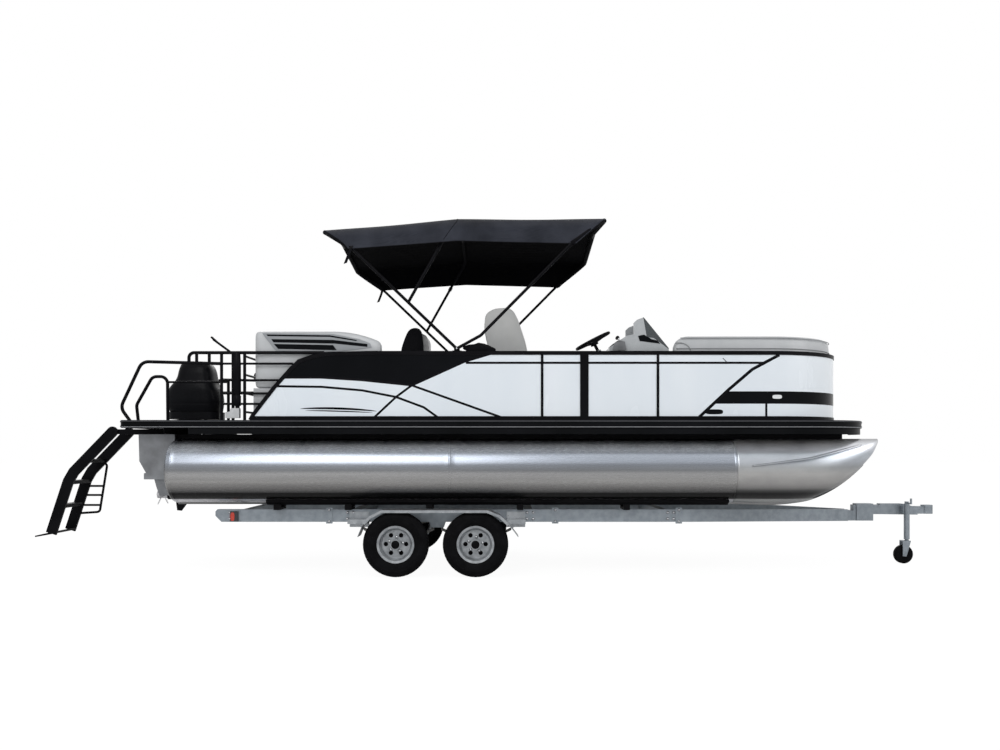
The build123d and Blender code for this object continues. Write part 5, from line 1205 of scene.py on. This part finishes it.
# Wheels: pressed steel rims in silver with a ring of hand holes, five nuts and a black cap on the hub. The
# tyres are deep black, with ribs and cross cuts round the tread and a moulded ring on each wall.
rim_paint = finish("rim_silver", (0.40, 0.42, 0.44), (0.22, 0.235, 0.25), 0.32, metal=0.5, patch=16,
                   grain=300, bump=0.04, dusty=0.05)
tyre_rubber = finish(
    "tyre_rubber", (0.006, 0.006, 0.007), (0.003, 0.003, 0.0035), 0.7, patch=12, grain=260, bump=0.2,
    dusty=0.02, **DULL
)
TYRE_R, TRACK = 0.318, 1.18
WALL = np.array([
    (-0.0603, 0.1668), (-0.064, 0.184), (-0.0775, 0.200), (-0.0845, 0.222), (-0.0868, 0.243),
    (-0.0862, 0.256), (-0.0875, 0.259), (-0.0872, 0.263), (-0.0856, 0.266), (-0.0828, 0.285),
    (-0.0765, 0.298), (-0.0660, 0.3095), (-0.0560, 0.3145),
])


def tyre_surface(x, side):
    """The wall profile, the tread and the mirrored wall, turned about the axle. Four grooves run round the
    tread, and a saw wave of the angle cuts its outer blocks."""
    across = np.linspace(-0.052, 0.052, 53)
    crown = TYRE_R - 0.0018 * (across / 0.052) ** 4
    profile_y = np.concatenate([WALL[:, 0], across, -WALL[::-1, 0]])
    profile_r = np.concatenate([WALL[:, 1], crown, WALL[::-1, 1]])
    angle = circle(288)
    groove = sum(
        np.clip(2.4 - np.abs(np.abs(across) - middle) / half, 0, 1) for middle,
        half in ((0.0145, 0.0022), (0.037, 0.002))
    )
    radius = np.repeat(profile_r[None], len(angle), 0)
    phase = (angle * 48 / (2 * np.pi))[:, None] + across[None] * 9
    cut = (np.abs(phase % 1 - 0.5) > 0.38) & (np.abs(across) > 0.018)[None]
    first = len(WALL)
    radius[:, first:first + 53] -= np.maximum(0.0065 * groove[None], 0.005 * cut)
    y = side * TRACK + profile_y
    along, up = radius * np.cos(angle)[:, None], radius * np.sin(angle)[:, None]
    return np.stack([x + along, np.broadcast_to(y, radius.shape), TYRE_R + up], -1)


for place, x in (("rear", -1.009), ("front", -0.237)):
    for side, which in SIDES:
        body = f"wheel_{place}_{which}"
        dress(rim_paint, f"rim_{place}_{which}")
        grid = tyre_surface(x, side)
        grid = np.concatenate([grid, grid[:1]]).transpose(1, 0, 2)[:, :-1]
        ring = skin(f"tyre_treaded_{place}_{which}", grid, tyre_rubber, body, caps=False)
        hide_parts(f"tyre_{place}_{which}")
        disc_y = TRACK + 0.0125
        round_part(
            f"brake_drum_{place}_{which}", (x, side * (TRACK - 0.012), TYRE_R), (0, side, 0),
            [(-0.05, 0.125), (-0.002, 0.136), (0.0, 0.135), (0.0005, 0.06)], tyre_rubber, body,
        )
        for number in range(5):
            turn = number * 2 * np.pi / 5 + 0.2
            centre = (x + 0.070 * np.cos(turn), side * disc_y, TYRE_R + 0.070 * np.sin(turn))
            hex_head(f"wheel_nut_{place}_{which}_{number + 1}", centre, (0, side, 0), 0.021, body=body)
        round_part(
            f"hub_cap_{place}_{which}", (x, side * (TRACK + 0.075), TYRE_R), (0, side, 0),
            [(-0.004, 0.040), (0.006, 0.040), (0.014, 0.034), (0.016, 0.02), (0.017, 0.003)], tyre_rubber,
            body, 32,
        )
        for radius in (0.138, 0.155):
            angle = np.linspace(0, 2 * np.pi, 73)
            line = np.stack([x + radius * np.cos(angle), np.full(73, side * disc_y),
                             TYRE_R + radius * np.sin(angle)], -1)
            tube_along(f"rim_bead_{place}_{which}_{round(radius * 1000)}", line, 0.0035, rim_paint, body,
                       8)
dress(tyre_rubber, "jockey_wheel")
round_part("jockey_hub", (4.365, 0, 0.1), (0, 1, 0), [(-0.033, 0.028), (-0.031, 0.032), (0.031, 0.032),
                                                      (0.033, 0.028)], rim_paint, "jockey_wheel",
                                                      24)

# Tail lamps: a black guard box on each side rail with a red lens on its outer and rear faces.
lamp_black = finish("lamp_black", (0.03, 0.032, 0.036), (0.018, 0.02, 0.022), 0.5, grain=200, bump=0.1,
                    dusty=0.05)
dress(lamp_black, "tail_lamps")
lamp_red = finish("lamp_red", (0.62, 0.05, 0.02), (0.45, 0.02, 0.01), 0.15, grain=80, bump=0.1, dusty=0.02,
                  Coat_Weight=0.4)
for side, which in SIDES:
    low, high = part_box("tail_lamps")
    out_y = max(abs(low[1]), abs(high[1]))
    prism(
        f"side_lens_{which}", pill(low[0] + 0.026, 0.568, 0.018, 0.040), side * (out_y + 0.004),
        side * (out_y - 0.004), lamp_red, bevel=0.002,
    )
    block = [(low[0] - 0.003, 0.53), (low[0] + 0.003, 0.53), (low[0] + 0.003, 0.61), (low[0] - 0.003, 0.61)]
    prism(f"rear_lens_{which}", block, side * (out_y - 0.008), side * (out_y - 0.06), lamp_red,
          bevel=0.001)
